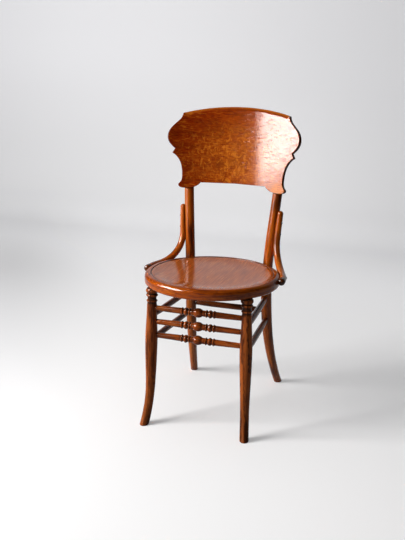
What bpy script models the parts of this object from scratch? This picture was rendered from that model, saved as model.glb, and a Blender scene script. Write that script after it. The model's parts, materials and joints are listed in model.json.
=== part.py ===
"""Bentwood dining chair: round seat in a bent ring, turned front rungs, shaped and curved back panel.

Metres, +Z up, -Y is the front of the chair. Pieces are laid out about the middle of the seat. They all hang
from one empty, which moves the origin to the floor under the middle of the whole chair.
"""

import math

import bmesh
import bpy
from mathutils import Matrix, Vector
from mathutils.geometry import interpolate_bezier

# Clearances
FIT = 0.0003  # between pieces that touch
MERGE = 0.00001

# Facets
RING_SIDES = 56
LEG_SIDES = 14
RUNG_SIDES = 12
SCREW_SIDES = 10
SHARP_ANGLE = math.radians(40.0)
DISH_STEPS = (1.0, 0.95, 0.88, 0.76, 0.5, 0.0)  # shares of the dish's radius
DOME_TURN = math.radians(81.0)  # how far round a rounded end goes before its flat tip

# Seat ring
SEAT_HEIGHT = 0.450
RING_RADIUS = 0.201
RING_WIDTH = 0.040
RING_DEPTH = 0.031
RING_TOP_ROUND = 0.012
RING_UNDER_ROUND = 0.006
REBATE_WIDTH = 0.021
REBATE_DEPTH = 0.0078
RING_LIP_ROUND = 0.0022

# Seat panel
SEAT_PANEL_THICKNESS = 0.0062
SEAT_PANEL_EDGE = 0.0015
SEAT_RIM_WIDTH = 0.009
SEAT_DISH = 0.0045
SEAT_DISH_POWER = 6

# Front legs
FRONT_LEG_REACH = 0.189  # middle of the seat to the middle of the leg's top
FRONT_LEG_ANGLE = math.radians(41.3)  # from the side of the chair towards its front
FRONT_LEG_LEAN = 0.0125
FRONT_FOOT_KICK = 0.0286
FRONT_FOOT_SPREAD = 0.0078
FRONT_KICK_HEIGHT = 0.175
FRONT_KICK_POWER = 2.8
FRONT_FOOT_RADIUS = 0.0132
FRONT_ANKLE_HEIGHT = 0.060  # up to here the foot keeps its thickness
FRONT_SWELL_RADIUS = 0.0182
FRONT_SWELL_DROP = 0.158  # ring's underside to the thickest place
FRONT_NECK_RADIUS = 0.0146
LEG_TENON_RADIUS = 0.0078
LEG_TENON_LENGTH = 0.018

# Turned top of the front legs, from the ring down
CUP_TOP_RADIUS = 0.0150
CUP_RADIUS = 0.0182
CUP_LENGTH = 0.0165
CUP_FOOT_RADIUS = 0.0136
UPPER_BEAD_RADIUS = 0.0172
UPPER_BEAD_LENGTH = 0.0095
COVE_RADIUS = 0.0128
COVE_LENGTH = 0.0080
LOWER_BEAD_RADIUS = 0.0160
LOWER_BEAD_LENGTH = 0.0070
NECK_RADIUS = 0.0138
NECK_LENGTH = 0.0100

# Rear legs, each one bent piece that runs up into the back
REAR_FOOT_SIDE = 0.152
REAR_FOOT_BACK = 0.296
REAR_FOOT_SIDE_SLOPE = -0.150
REAR_FOOT_BACK_SLOPE = -0.660
REAR_SEAT_ANGLE = math.radians(53.0)  # from the side of the chair towards its back
REAR_SEAT_SLOPE = 0.030
STILE_SADDLE = 0.0025  # depth hollowed out of the stile where it lies on the ring
REAR_FOOT_RADIUS = 0.0127
REAR_SWELL_RADIUS = 0.0170
REAR_SWELL_DROP = 0.130
STILE_SEAT_RADIUS = 0.0154
STILE_RADIUS = 0.0150
STILE_TOP_HEIGHT = 0.178  # up the back panel from its lower line
STILE_TOP_DOME = 0.006
STILE_FLAT = 0.0065  # depth planed off the stile behind the back panel
STILE_SPLAY = 0.065

# Back panel, curved about an upright axis in front of it and leaning back
BACK_RISE = 0.2196  # seat height to the panel's lower line
BACK_SETBACK = 0.2022  # middle of the seat to the panel's front face there
BACK_LEAN = math.radians(9.75)
BACK_CURVE_RADIUS = 0.414
BACK_THICKNESS = 0.012
BACK_EDGE_ROUND = 0.0022
BACK_STILE_ARC = 0.1458  # along the front face, from the middle to the stile
BACK_COLUMNS = 20

# Outline of the back panel: half widths and heights along its front face
CROWN_HEIGHT = 0.2545
TOP_HALF = 0.1738
TOP_CORNER_HEIGHT = 0.2268
SHOULDER_HALF = 0.1840
SHOULDER_HEIGHT = 0.2050
EAR_HALF = 0.2180
EAR_HEIGHT = 0.1515
NOTCH_HALF = 0.1933
NOTCH_HEIGHT = 0.1147
LIP_HALF = 0.1998
LIP_HEIGHT = 0.1024
LIP_ROOT_HALF = 0.1930
LIP_ROOT_HEIGHT = 0.0965
WAIST_HALF = 0.1658
WAIST_HEIGHT = 0.0256
CURL_HALF = 0.1746
CURL_HEIGHT = 0.0060
LOBE_HALF = 0.1623
LOBE_HEIGHT = -0.0072
CORNER_HALF = 0.1059
CORNER_HEIGHT = 0.0130
MIDDLE_HEIGHT = 0.0162

# Front rungs: heights below the ring and the turned middle, measured from the middle outwards
FRONT_RUNG_DROP = 0.0595
FRONT_RUNG_STEP = 0.0413
FRONT_RUNG_NAMES = ("top", "middle", "bottom")
RUNG_SOCKET_DEPTH = 0.0125
RUNG_END_RADIUS = 0.0078
FRONT_RUNG_RADIUS = 0.0092
BALL_RADIUS = 0.0138
BALL_HALF_LENGTH = 0.0175
BALL_NECK_RADIUS = 0.0082
BALL_NECK_LENGTH = 0.0045
DISC_RADIUS = 0.0112
DISC_LENGTH = 0.0060
GROOVE_RADIUS = 0.0084
GROOVE_LENGTH = 0.0024
BARREL_RADIUS = 0.0117
BARREL_LENGTH = 0.0122

# Plain rungs
SIDE_RUNG_DROPS = {"upper": 0.0850, "lower": 0.1590}
SIDE_RUNG_RADIUS = 0.0095
REAR_RUNG_DROP = 0.1305
REAR_RUNG_RADIUS = 0.0095

# Braces from the back to the seat ring
BRACE_RISE = 0.1550  # seat height to the brace's top end
BRACE_LEAVE_RISE = 0.080  # where it bends away from the stile
BRACE_SIDE_ANGLE = math.radians(-16.0)  # place on the stile, from straight out towards the front
BRACE_LAND_ANGLE = math.radians(18.0)  # where it meets the ring
BRACE_END_ANGLE = math.radians(0.8)
BRACE_DROP = 0.0110  # ring's top to the brace's middle
BRACE_LEAVE_PULL = 0.052
BRACE_LAND_PULL = 0.080
BRACE_TOP_RADIUS = 0.0090
BRACE_BEND_RADIUS = 0.0102
BRACE_END_RADIUS = 0.0110
BRACE_STILE_DEPTH = 0.0040  # depth hollowed out of the brace where it lies on the stile
BRACE_RING_DEPTH = 0.0028  # depth hollowed out of the brace where it lies on the ring
BRACE_DOME = 0.0085

# Fasteners
BOLT_RADIUS = 0.0030
BOLT_HEAD_RADIUS = 0.0066
BOLT_HEAD_HEIGHT = 0.0032
BOLT_TAIL = 0.0025  # past the nut
BOLT_EDGE = 0.0015  # wood left between the washer's seat and the ring's underside
WASHER_RADIUS = 0.0080
WASHER_THICKNESS = 0.0014
NUT_RADIUS = 0.0064
NUT_THICKNESS = 0.0048
SCREW_RADIUS = 0.0020
SCREW_HEAD_RADIUS = 0.0040
SCREW_HEAD_HEIGHT = 0.0022
SCREW_POINT = 0.0030
SPOT_MARGIN = 0.0005  # flat seat round a fastener's head
SPOT_DEPTH = 0.0008  # flat seat inside the ring
PANEL_SCREW_BITE = 0.0085
PANEL_SCREW_HEIGHTS = {"lower": 0.028, "upper": 0.140}
BRACE_SCREW_BITE = 0.014
BRACE_SCREW_RISES = {"upper": 0.127, "lower": 0.092}
RING_SCREW_ANGLE = math.radians(13.0)
RING_SCREW_BITE = 0.016

# Worked out from the sizes above
RING_TOP = SEAT_HEIGHT
RING_UNDER = SEAT_HEIGHT - RING_DEPTH
RING_MIDDLE = SEAT_HEIGHT - RING_DEPTH / 2
RING_INNER_RADIUS = RING_RADIUS - RING_WIDTH
REBATE_RADIUS = RING_INNER_RADIUS + REBATE_WIDTH
SEAT_LEDGE = RING_TOP - REBATE_DEPTH
BOLT_HEIGHT = RING_UNDER + BOLT_EDGE + SPOT_MARGIN + WASHER_RADIUS
SIDES = {"left": -1, "right": 1}
X_AXIS = Vector((1, 0, 0))
Z_AXIS = Vector((0, 0, 1))

# Colours, roughness and metal of each finish
FINISHES = {
    "oak_back": ((0.30, 0.105, 0.022, 1), 0.25, 0.0),
    "oak_seat": ((0.27, 0.100, 0.034, 1), 0.22, 0.0),
    "oak_ring": ((0.26, 0.082, 0.018, 1), 0.28, 0.0),
    "oak_legs": ((0.20, 0.060, 0.017, 1), 0.33, 0.0),
    "oak_rungs": ((0.16, 0.048, 0.014, 1), 0.36, 0.0),
    "dark_steel": ((0.10, 0.085, 0.070, 1), 0.42, 1.0),
}


def clear_scene():
    for old in list(bpy.data.objects):
        bpy.data.objects.remove(old, do_unlink=True)


def make_finish(name):
    colour, roughness, metallic = FINISHES[name]
    finish = bpy.data.materials.new(name)
    finish.use_nodes = True
    shader = finish.node_tree.nodes["Principled BSDF"]
    shader.inputs["Base Color"].default_value = colour
    shader.inputs["Roughness"].default_value = roughness
    shader.inputs["Metallic"].default_value = metallic
    finish.diffuse_color = colour
    return finish


def add_object(name, bm, at=(0, 0, 0), axis=Z_AXIS):
    """Object of a mesh, with its own Z turned along axis, under the chair's empty."""
    mesh = bpy.data.meshes.new(name)
    bm.to_mesh(mesh)
    bm.free()
    mesh.shade_smooth()
    mesh.set_sharp_from_angle(angle=SHARP_ANGLE)
    obj = bpy.data.objects.new(name, mesh)
    bpy.context.collection.objects.link(obj)
    obj.location = at
    obj.rotation_mode = "QUATERNION"
    obj.rotation_quaternion = Z_AXIS.rotation_difference(axis)
    obj.parent = bpy.data.objects["chair_origin"]
    return obj


def add_piece(name, bm, finish, at=(0, 0, 0), axis=Z_AXIS):
    obj = add_object(name, bm, at, axis)
    obj.data.materials.append(bpy.data.materials[finish])
    return obj


def add_cutter(name, bm, at=(0, 0, 0), axis=Z_AXIS):
    obj = add_object("cut_" + name, bm, at, axis)
    obj.hide_render = True
    obj.display_type = "WIRE"
    return obj


def cut(piece, cutter):
    boolean = piece.modifiers.new(cutter.name, "BOOLEAN")
    boolean.operation = "DIFFERENCE"
    boolean.object = cutter


def lathe(profile, sides, closed=False):
    """Solid turned about Z from (radius, height) points; an open profile starts and ends on the axis."""
    bm = bmesh.new()
    verts = [bm.verts.new((radius, 0, height)) for radius, height in profile]
    edges = [bm.edges.new(pair) for pair in zip(verts, verts[1:])]
    if closed:
        edges.append(bm.edges.new((verts[-1], verts[0])))
    bmesh.ops.spin(bm, geom=verts + edges, axis=Z_AXIS, cent=(0, 0, 0), angle=math.tau, steps=sides,
                   use_merge=True)
    bmesh.ops.remove_doubles(bm, verts=bm.verts[:], dist=MERGE)
    bmesh.ops.recalc_face_normals(bm, faces=bm.faces[:])
    return bm


def tube(stations, sides):
    """Closed tube through (middle, radius) stations, each section square to the run."""
    bm = bmesh.new()
    middles = [Vector(middle) for middle, _ in stations]
    rings = []
    for index, (middle, radius) in enumerate(stations):
        before = middles[max(index - 1, 0)]
        after = middles[min(index + 1, len(middles) - 1)]
        run = (after - before).normalized()
        across = (X_AXIS - run * X_AXIS.dot(run)).normalized()
        up = run.cross(across)
        ring = []
        for side in range(sides):
            turn = math.tau * side / sides
            offset = across * math.cos(turn) + up * math.sin(turn)
            ring.append(bm.verts.new(middles[index] + offset * radius))
        rings.append(ring)
    for lower, upper in zip(rings, rings[1:]):
        for side in range(sides):
            after = (side + 1) % sides
            bm.faces.new((lower[side], lower[after], upper[after], upper[side]))
    bm.faces.new(rings[0])
    bm.faces.new(rings[-1])
    bmesh.ops.recalc_face_normals(bm, faces=bm.faces[:])
    return bm


def saw_off_below(bm, height):
    """Cut everything under a level plane away and close the cut."""
    geometry = bm.verts[:] + bm.edges[:] + bm.faces[:]
    bmesh.ops.bisect_plane(bm, geom=geometry, plane_co=(0, 0, height), plane_no=(0, 0, 1), clear_inner=True)
    open_edges = [edge for edge in bm.edges if edge.is_boundary]
    bmesh.ops.contextual_create(bm, geom=open_edges)
    bmesh.ops.recalc_face_normals(bm, faces=bm.faces[:])


def dome(middle, out, radius, height, steps=3):
    """Stations that round off the end of a tube."""
    stations = []
    for step in range(1, steps + 1):
        turn = DOME_TURN * step / steps
        stations.append((middle + out * (height * math.sin(turn)), radius * math.cos(turn)))
    return stations


def hermite(start, end, start_slope, end_slope, share, length):
    """Cubic between two values with the given slopes per unit of length."""
    square = share * share
    cube = square * share
    return ((2 * cube - 3 * square + 1) * start + (3 * square - 2 * cube) * end
            + (cube - 2 * square + share) * length * start_slope + (cube - square) * length * end_slope)


def spread(start, end, count):
    return [start + (end - start) * step / count for step in range(count + 1)]


def through(points, place):
    """Value at a place along rising (place, value) points, eased from each point to the next."""
    for (low, first), (high, second) in zip(points, points[1:]):
        if place <= high:
            share = min(max((place - low) / (high - low), 0.0), 1.0)
            return first + (second - first) * share * share * (3 - 2 * share)
    return points[-1][1]


def bead(start, length, first, middle, last, steps):
    """Turned (place, radius) points that swell or hollow from one radius to another."""
    points = []
    for step in range(1, steps + 1):
        share = step / steps
        swell = (middle - (first + last) / 2) * math.sin(math.pi * share)
        points.append((start + length * share, first + (last - first) * share + swell))
    return points


# Places that several pieces share

def front_leg_at(height, side):
    """Middle of a front leg, which leans out a little and kicks forward at the foot."""
    below = RING_UNDER - height
    kick = max(0.0, 1 - height / FRONT_KICK_HEIGHT) ** FRONT_KICK_POWER
    across = FRONT_LEG_REACH * math.cos(FRONT_LEG_ANGLE) + FRONT_LEG_LEAN * below + FRONT_FOOT_SPREAD * kick
    ahead = FRONT_LEG_REACH * math.sin(FRONT_LEG_ANGLE) + FRONT_LEG_LEAN * below + FRONT_FOOT_KICK * kick
    return Vector((side * across, -ahead, height))


def front_leg_radius(height):
    """Thickness of a front leg below its turned top."""
    turned = RING_UNDER - FIT - front_turning_length()
    points = ((0.0, FRONT_FOOT_RADIUS), (FRONT_ANKLE_HEIGHT, FRONT_FOOT_RADIUS),
              (RING_UNDER - FRONT_SWELL_DROP, FRONT_SWELL_RADIUS), (turned, FRONT_NECK_RADIUS))
    return through(points, height)


def front_turning_length():
    return CUP_LENGTH + UPPER_BEAD_LENGTH + COVE_LENGTH + LOWER_BEAD_LENGTH + NECK_LENGTH


def back_place(across, behind, height):
    """Point of the back panel's own frame: across, behind its front line and up along its lean."""
    lean = Matrix.Rotation(-BACK_LEAN, 3, "X")
    return Vector((0, BACK_SETBACK, SEAT_HEIGHT + BACK_RISE)) + lean @ Vector((across, behind, height))


def back_bend(arc, behind, height):
    """Point of the flat panel, bent round the upright axis in front of it."""
    turn = arc / BACK_CURVE_RADIUS
    radius = BACK_CURVE_RADIUS + behind
    return Vector((radius * math.sin(turn), radius * math.cos(turn) - BACK_CURVE_RADIUS, height))


def stile_seat_normal(side):
    """Direction straight back from the panel where a stile is screwed to it."""
    turn = side * BACK_STILE_ARC / BACK_CURVE_RADIUS
    return back_place(math.sin(turn), math.cos(turn), 0) - back_place(0, 0, 0)


def stile_behind_panel(height, side):
    """Middle of a stile at a height of the back panel."""
    turn = BACK_STILE_ARC / BACK_CURVE_RADIUS
    middle = back_bend(BACK_STILE_ARC, BACK_THICKNESS + FIT + STILE_RADIUS - STILE_FLAT, height)
    aside = STILE_SPLAY * (height - STILE_TOP_HEIGHT / 2)
    across = middle.x + aside * math.cos(turn)
    behind = middle.y - aside * math.sin(turn)
    return back_place(side * across, behind, height)


def rear_leg_at(height, side):
    """Middle of a rear leg: bowed back to the foot, upright at the seat, straight behind the back panel."""
    low = stile_behind_panel(LOBE_HEIGHT, side)
    high = stile_behind_panel(STILE_TOP_HEIGHT, side)
    slope = (high - low) / (high.z - low.z)
    reach = RING_RADIUS + STILE_SEAT_RADIUS - STILE_SADDLE
    seat = Vector((side * reach * math.cos(REAR_SEAT_ANGLE), reach * math.sin(REAR_SEAT_ANGLE), RING_MIDDLE))
    foot = Vector((side * REAR_FOOT_SIDE, REAR_FOOT_BACK, 0))
    foot_slope = Vector((side * REAR_FOOT_SIDE_SLOPE, REAR_FOOT_BACK_SLOPE, 1))
    seat_slope = Vector((side * REAR_SEAT_SLOPE, REAR_SEAT_SLOPE, 1))
    if height > low.z:
        return low + slope * (height - low.z)
    if height > seat.z:
        length = low.z - seat.z
        return hermite(seat, low, seat_slope, slope, (height - seat.z) / length, length)
    return hermite(foot, seat, foot_slope, seat_slope, height / seat.z, seat.z)


def rear_leg_radius(height):
    panel_line = SEAT_HEIGHT + BACK_RISE
    points = ((0.0, REAR_FOOT_RADIUS), (RING_UNDER - REAR_SWELL_DROP, REAR_SWELL_RADIUS),
              (RING_MIDDLE, STILE_SEAT_RADIUS), (panel_line, STILE_RADIUS))
    return through(points, height)


def outward(angle, side):
    """Level direction at an angle from straight out to one side."""
    return Vector((side * math.cos(angle), math.sin(angle), 0))


def brace_on_stile(rise, side):
    """Middle of a brace where it lies on the stile."""
    height = SEAT_HEIGHT + rise
    reach = rear_leg_radius(height) + brace_stile_radius(rise) - BRACE_STILE_DEPTH
    return rear_leg_at(height, side) + outward(BRACE_SIDE_ANGLE, side) * reach


def brace_stile_radius(rise):
    share = (BRACE_RISE - rise) / (BRACE_RISE - BRACE_LEAVE_RISE)
    return BRACE_TOP_RADIUS + (BRACE_BEND_RADIUS - BRACE_TOP_RADIUS) * share


def brace_on_ring(angle, side):
    """Middle of a brace where it lies on the ring."""
    middle = outward(angle, side) * (RING_RADIUS + BRACE_END_RADIUS - BRACE_RING_DEPTH)
    middle.z = RING_TOP - BRACE_DROP
    return middle


# Seat

def seat_ring():
    """Bent ring with rounded edges, a rebate for the seat panel and a small lip over it."""
    profile = [(RING_INNER_RADIUS, RING_UNDER)]
    for turn in spread(-math.pi / 2, 0, 2):
        profile.append((RING_RADIUS - RING_UNDER_ROUND * (1 - math.cos(turn)),
                        RING_UNDER + RING_UNDER_ROUND * (1 + math.sin(turn))))
    for turn in spread(0, math.pi / 2, 4):
        profile.append((RING_RADIUS - RING_TOP_ROUND * (1 - math.cos(turn)),
                        RING_TOP - RING_TOP_ROUND * (1 - math.sin(turn))))
    for turn in spread(math.pi / 2, math.pi, 2):
        profile.append((REBATE_RADIUS + RING_LIP_ROUND * (1 + math.cos(turn)),
                        RING_TOP - RING_LIP_ROUND * (1 - math.sin(turn))))
    profile.append((REBATE_RADIUS, SEAT_LEDGE))
    profile.append((RING_INNER_RADIUS, SEAT_LEDGE))
    return add_piece("seat_ring", lathe(profile, RING_SIDES, closed=True), "oak_ring")


def seat_panel():
    """Pressed disc with a flat rim and a shallow dish, lying on the ring's ledge."""
    edge = REBATE_RADIUS - FIT
    rim = edge - SEAT_RIM_WIDTH
    under = SEAT_LEDGE + FIT
    top = under + SEAT_PANEL_THICKNESS
    radii = [rim * share for share in DISH_STEPS]
    dish = [(radius, -SEAT_DISH * (1 - (radius / rim) ** SEAT_DISH_POWER)) for radius in radii]
    ledge_edge = RING_INNER_RADIUS - FIT
    hollow = [(radius * ledge_edge / rim, under + drop) for radius, drop in reversed(dish)]
    profile = hollow + [(edge, under), (edge, top - SEAT_PANEL_EDGE), (edge - SEAT_PANEL_EDGE, top)]
    profile += [(radius, top + drop) for radius, drop in dish]
    return add_piece("seat_panel", lathe(profile, RING_SIDES), "oak_seat")


# Legs

def front_leg(side_name):
    """Leg with a turned top, a swell at the rungs, a kicked foot and a tenon for the ring."""
    side = SIDES[side_name]
    shoulder = RING_UNDER - FIT
    turning = [(0.0, CUP_TOP_RADIUS)]
    turning += bead(0.0, CUP_LENGTH, CUP_TOP_RADIUS, CUP_RADIUS, CUP_FOOT_RADIUS, 5)
    features = ((UPPER_BEAD_LENGTH, UPPER_BEAD_RADIUS, COVE_RADIUS, 4),
                (COVE_LENGTH, COVE_RADIUS, COVE_RADIUS, 2),
                (LOWER_BEAD_LENGTH, LOWER_BEAD_RADIUS, NECK_RADIUS, 4),
                (NECK_LENGTH, NECK_RADIUS, FRONT_NECK_RADIUS, 3))
    for length, middle, last, steps in features:
        start, first = turning[-1]
        turning += bead(start, length, first, middle, last, steps)
    plain_top = shoulder - turning[-1][0]
    stations = [(front_leg_at(height, side), front_leg_radius(height))
                for height in spread(-2 * FRONT_FOOT_RADIUS, plain_top, 13)[:-1]]
    for drop, radius in reversed(turning):
        stations.append((front_leg_at(shoulder - drop, side), radius))
    top = front_leg_at(shoulder, side)
    stations.append((top, LEG_TENON_RADIUS))
    stations.append((top + Z_AXIS * LEG_TENON_LENGTH, LEG_TENON_RADIUS))
    bm = tube(stations, LEG_SIDES)
    saw_off_below(bm, 0.0)
    return add_piece("front_leg_" + side_name, bm, "oak_legs")


def rear_leg(side_name):
    """Bent leg that runs up past the seat as the stile of the back."""
    side = SIDES[side_name]
    top = stile_behind_panel(STILE_TOP_HEIGHT, side)
    stations = [(rear_leg_at(height, side), rear_leg_radius(height))
                for height in spread(-2 * REAR_FOOT_RADIUS, top.z, 25)]
    run = (stations[-1][0] - stations[-2][0]).normalized()
    stations += dome(top, run, STILE_RADIUS, STILE_TOP_DOME)
    bm = tube(stations, LEG_SIDES)
    saw_off_below(bm, 0.0)
    return add_piece("rear_leg_" + side_name, bm, "oak_legs")


# Rungs

def rung_span(first, second, first_radius, second_radius):
    """Half length, middle and direction of a rung that ends a clearance short of its two socket floors."""
    run = (second - first).normalized()
    start = first + run * (first_radius - RUNG_SOCKET_DEPTH + FIT)
    end = second - run * (second_radius - RUNG_SOCKET_DEPTH + FIT)
    return (end - start).length / 2, (start + end) / 2, run


def front_rung_profile(half_length):
    """Half of a front rung, from the ball in its middle to its end: (place, radius) points."""
    points = []
    for share in spread(0, 1, 4):
        swell = (BALL_RADIUS - BALL_NECK_RADIUS) * math.cos(share * math.pi / 2)
        points.append((BALL_HALF_LENGTH * share, BALL_NECK_RADIUS + swell))
    groove = (GROOVE_LENGTH, GROOVE_RADIUS, GROOVE_RADIUS, 1)
    steps = ((BALL_NECK_LENGTH, BALL_NECK_RADIUS, GROOVE_RADIUS, 2),
             (DISC_LENGTH, DISC_RADIUS, GROOVE_RADIUS, 3), groove,
             (BARREL_LENGTH, BARREL_RADIUS, GROOVE_RADIUS, 4), groove,
             (DISC_LENGTH, DISC_RADIUS, FRONT_RUNG_RADIUS, 3))
    for length, middle, last, count in steps:
        start, first = points[-1]
        points += bead(start, length, first, middle, last, count)
    points.append((half_length - RUNG_SOCKET_DEPTH, RUNG_END_RADIUS))
    points.append((half_length, RUNG_END_RADIUS))
    return points


def plain_rung_profile(half_length, radius):
    """Half of a plain rung, which thins towards its ends."""
    shoulder = half_length - RUNG_SOCKET_DEPTH
    points = [(shoulder * share, RUNG_END_RADIUS + (radius - RUNG_END_RADIUS) * (1 - share ** 3))
              for share in spread(0, 1, 3)]
    points.append((half_length, RUNG_END_RADIUS))
    return points


def add_rung(name, half_profile, middle, run):
    """Rung turned from a half profile, and the cutter for the sockets at its two ends."""
    half_length = half_profile[-1][0]
    right = [(radius, place) for place, radius in half_profile]
    left = [(radius, -place) for radius, place in reversed(right[1:])]
    profile = [(0, -half_length)] + left + right + [(0, half_length)]
    rung = add_piece(name, lathe(profile, RUNG_SIDES), "oak_rungs", middle, run)
    reach = half_length + FIT
    radius = RUNG_END_RADIUS + FIT
    bore = lathe([(0, -reach), (radius, -reach), (radius, reach), (0, reach)], RUNG_SIDES)
    return rung, add_cutter(name, bore, middle, run)


def front_rungs(legs):
    for index, name in enumerate(FRONT_RUNG_NAMES):
        height = RING_UNDER - FRONT_RUNG_DROP - FRONT_RUNG_STEP * index
        radius = front_leg_radius(height)
        half, middle, run = rung_span(front_leg_at(height, -1), front_leg_at(height, 1), radius, radius)
        _, bore = add_rung("front_rung_" + name, front_rung_profile(half), middle, run)
        for side_name in SIDES:
            cut(legs["front_" + side_name], bore)


def side_rungs(legs):
    for side_name, side in SIDES.items():
        for level, drop in SIDE_RUNG_DROPS.items():
            height = RING_UNDER - drop
            half, middle, run = rung_span(front_leg_at(height, side), rear_leg_at(height, side),
                                          front_leg_radius(height), rear_leg_radius(height))
            profile = plain_rung_profile(half, SIDE_RUNG_RADIUS)
            _, bore = add_rung("side_rung_" + side_name + "_" + level, profile, middle, run)
            cut(legs["front_" + side_name], bore)
            cut(legs["rear_" + side_name], bore)


def rear_rung(legs):
    height = RING_UNDER - REAR_RUNG_DROP
    radius = rear_leg_radius(height)
    half, middle, run = rung_span(rear_leg_at(height, -1), rear_leg_at(height, 1), radius, radius)
    _, bore = add_rung("rear_rung", plain_rung_profile(half, REAR_RUNG_RADIUS), middle, run)
    for side_name in SIDES:
        cut(legs["rear_" + side_name], bore)


# Back

def arc_over(half, rise, steps):
    """Points of a crowned edge from its middle, at height rise, out to half at height 0."""
    radius = (half * half + rise * rise) / (2 * rise)
    return [(half * step / steps, math.sqrt(radius ** 2 - (half * step / steps) ** 2) - radius + rise)
            for step in range(steps + 1)]


def sweep(points, end, first_degrees, last_degrees, steps, pull=0.37):
    """Extend an outline by a curve that leaves and arrives in the given directions."""
    start = Vector(points[-1])
    end = Vector(end)
    reach = (end - start).length * pull
    leave = Vector((math.cos(math.radians(first_degrees)), math.sin(math.radians(first_degrees)))) * reach
    arrive = Vector((math.cos(math.radians(last_degrees)), math.sin(math.radians(last_degrees)))) * reach
    curve = interpolate_bezier(start, start + leave, end - arrive, end, steps + 1)
    points.extend(tuple(point)[:2] for point in curve[1:])


def back_outline():
    """Whole outline of the flat panel, down its right side and up its left."""
    rise = CROWN_HEIGHT - TOP_CORNER_HEIGHT
    right = [(arc, TOP_CORNER_HEIGHT + height) for arc, height in arc_over(TOP_HALF, rise, 8)]
    sweep(right, (SHOULDER_HALF, SHOULDER_HEIGHT), -78, -46, 3)
    sweep(right, (EAR_HALF, EAR_HEIGHT), -46, -90, 6)
    sweep(right, (NOTCH_HALF, NOTCH_HEIGHT), -90, -143, 6)
    sweep(right, (LIP_HALF, LIP_HEIGHT), -68, -62, 2)
    sweep(right, (LIP_ROOT_HALF, LIP_ROOT_HEIGHT), -72, -148, 4)
    sweep(right, (WAIST_HALF, WAIST_HEIGHT), -143, -90, 7)
    sweep(right, (CURL_HALF, CURL_HEIGHT), -90, -42, 4)
    sweep(right, (LOBE_HALF, LOBE_HEIGHT), -55, -176, 6, 0.48)
    sweep(right, (CORNER_HALF, CORNER_HEIGHT), -180, -234, 7)
    right.append((0.0, MIDDLE_HEIGHT))
    left = [(-arc, height) for arc, height in reversed(right[1:-1])]
    return right + left


def back_panel():
    """Shaped panel: a flat outline with its front edge rounded over, bent to the curve of the back."""
    bm = bmesh.new()
    front = bm.faces.new([bm.verts.new((arc, 0, height)) for arc, height in back_outline()])
    rim = front.edges[:]
    extruded = bmesh.ops.extrude_face_region(bm, geom=[front], use_keep_orig=True)["geom"]
    moved = [item for item in extruded if isinstance(item, bmesh.types.BMVert)]
    bmesh.ops.translate(bm, verts=moved, vec=(0, BACK_THICKNESS, 0))
    bmesh.ops.recalc_face_normals(bm, faces=bm.faces[:])
    bmesh.ops.bevel(bm, geom=rim, offset=BACK_EDGE_ROUND, segments=2, profile=0.5, affect="EDGES")
    for step in range(1, BACK_COLUMNS):
        arc = EAR_HALF * (2 * step / BACK_COLUMNS - 1)
        geometry = bm.verts[:] + bm.edges[:] + bm.faces[:]
        bmesh.ops.bisect_plane(bm, geom=geometry, plane_co=(arc, 0, 0), plane_no=X_AXIS)
    bmesh.ops.triangulate(bm, faces=bm.faces[:])
    for vert in bm.verts:
        vert.co = back_bend(vert.co.x, vert.co.y, vert.co.z)
    bmesh.ops.recalc_face_normals(bm, faces=bm.faces[:])
    upright = back_place(0, 0, 1) - back_place(0, 0, 0)
    return add_piece("back_panel", bm, "oak_back", back_place(0, 0, 0), upright)


def plane_stile_for_panel(leg, side_name):
    """Flat on the front of the stile that the back panel is screwed to, with a ledge under the panel."""
    side = SIDES[side_name]
    turn = side * BACK_STILE_ARC / BACK_CURVE_RADIUS
    low = LOBE_HEIGHT - FIT
    high = STILE_TOP_HEIGHT + 2 * STILE_RADIUS
    half_width = 2 * STILE_RADIUS
    bm = bmesh.new()
    bmesh.ops.create_cube(bm, size=1.0)
    for vert in bm.verts:
        behind = BACK_THICKNESS + FIT + (vert.co.y - 0.5) * 2 * STILE_RADIUS
        middle = back_bend(side * BACK_STILE_ARC, behind, 0)
        aside = vert.co.x * 2 * half_width
        vert.co = back_place(middle.x + aside * math.cos(turn), middle.y - aside * math.sin(turn),
                             low + (vert.co.z + 0.5) * (high - low))
    bmesh.ops.recalc_face_normals(bm, faces=bm.faces[:])
    cut(leg, add_cutter("stile_flat_" + side_name, bm))


# Braces

def brace(side_name, ring_wall, stile_wall):
    """Bent rod from the side of the stile, down and forward to the side of the seat ring."""
    side = SIDES[side_name]
    stations = [(brace_on_stile(rise, side), brace_stile_radius(rise))
                for rise in spread(BRACE_RISE, BRACE_LEAVE_RISE, 3)]
    up = (stations[0][0] - stations[1][0]).normalized()
    leave, land = stations[-1][0], brace_on_ring(BRACE_LAND_ANGLE, side)
    along_ring = Vector((side * math.sin(BRACE_LAND_ANGLE), -math.cos(BRACE_LAND_ANGLE), 0))
    handles = (leave - up * BRACE_LEAVE_PULL, land - along_ring * BRACE_LAND_PULL)
    bend = interpolate_bezier(leave, *handles, land, 13)
    for step, middle in enumerate(bend[1:], 1):
        radius = BRACE_BEND_RADIUS + (BRACE_END_RADIUS - BRACE_BEND_RADIUS) * step / (len(bend) - 1)
        stations.append((middle, radius))
    stations += [(brace_on_ring(angle, side), BRACE_END_RADIUS)
                 for angle in spread(BRACE_LAND_ANGLE, BRACE_END_ANGLE, 3)[1:]]
    end_run = (stations[-1][0] - stations[-2][0]).normalized()
    stations = list(reversed(dome(stations[0][0], up, BRACE_TOP_RADIUS, BRACE_DOME))) + stations
    stations += dome(stations[-1][0], end_run, BRACE_END_RADIUS, BRACE_DOME)
    rod = add_piece("brace_" + side_name, tube(stations, RUNG_SIDES), "oak_legs")
    cut(rod, ring_wall)
    cut(rod, stile_wall)
    return rod


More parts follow.
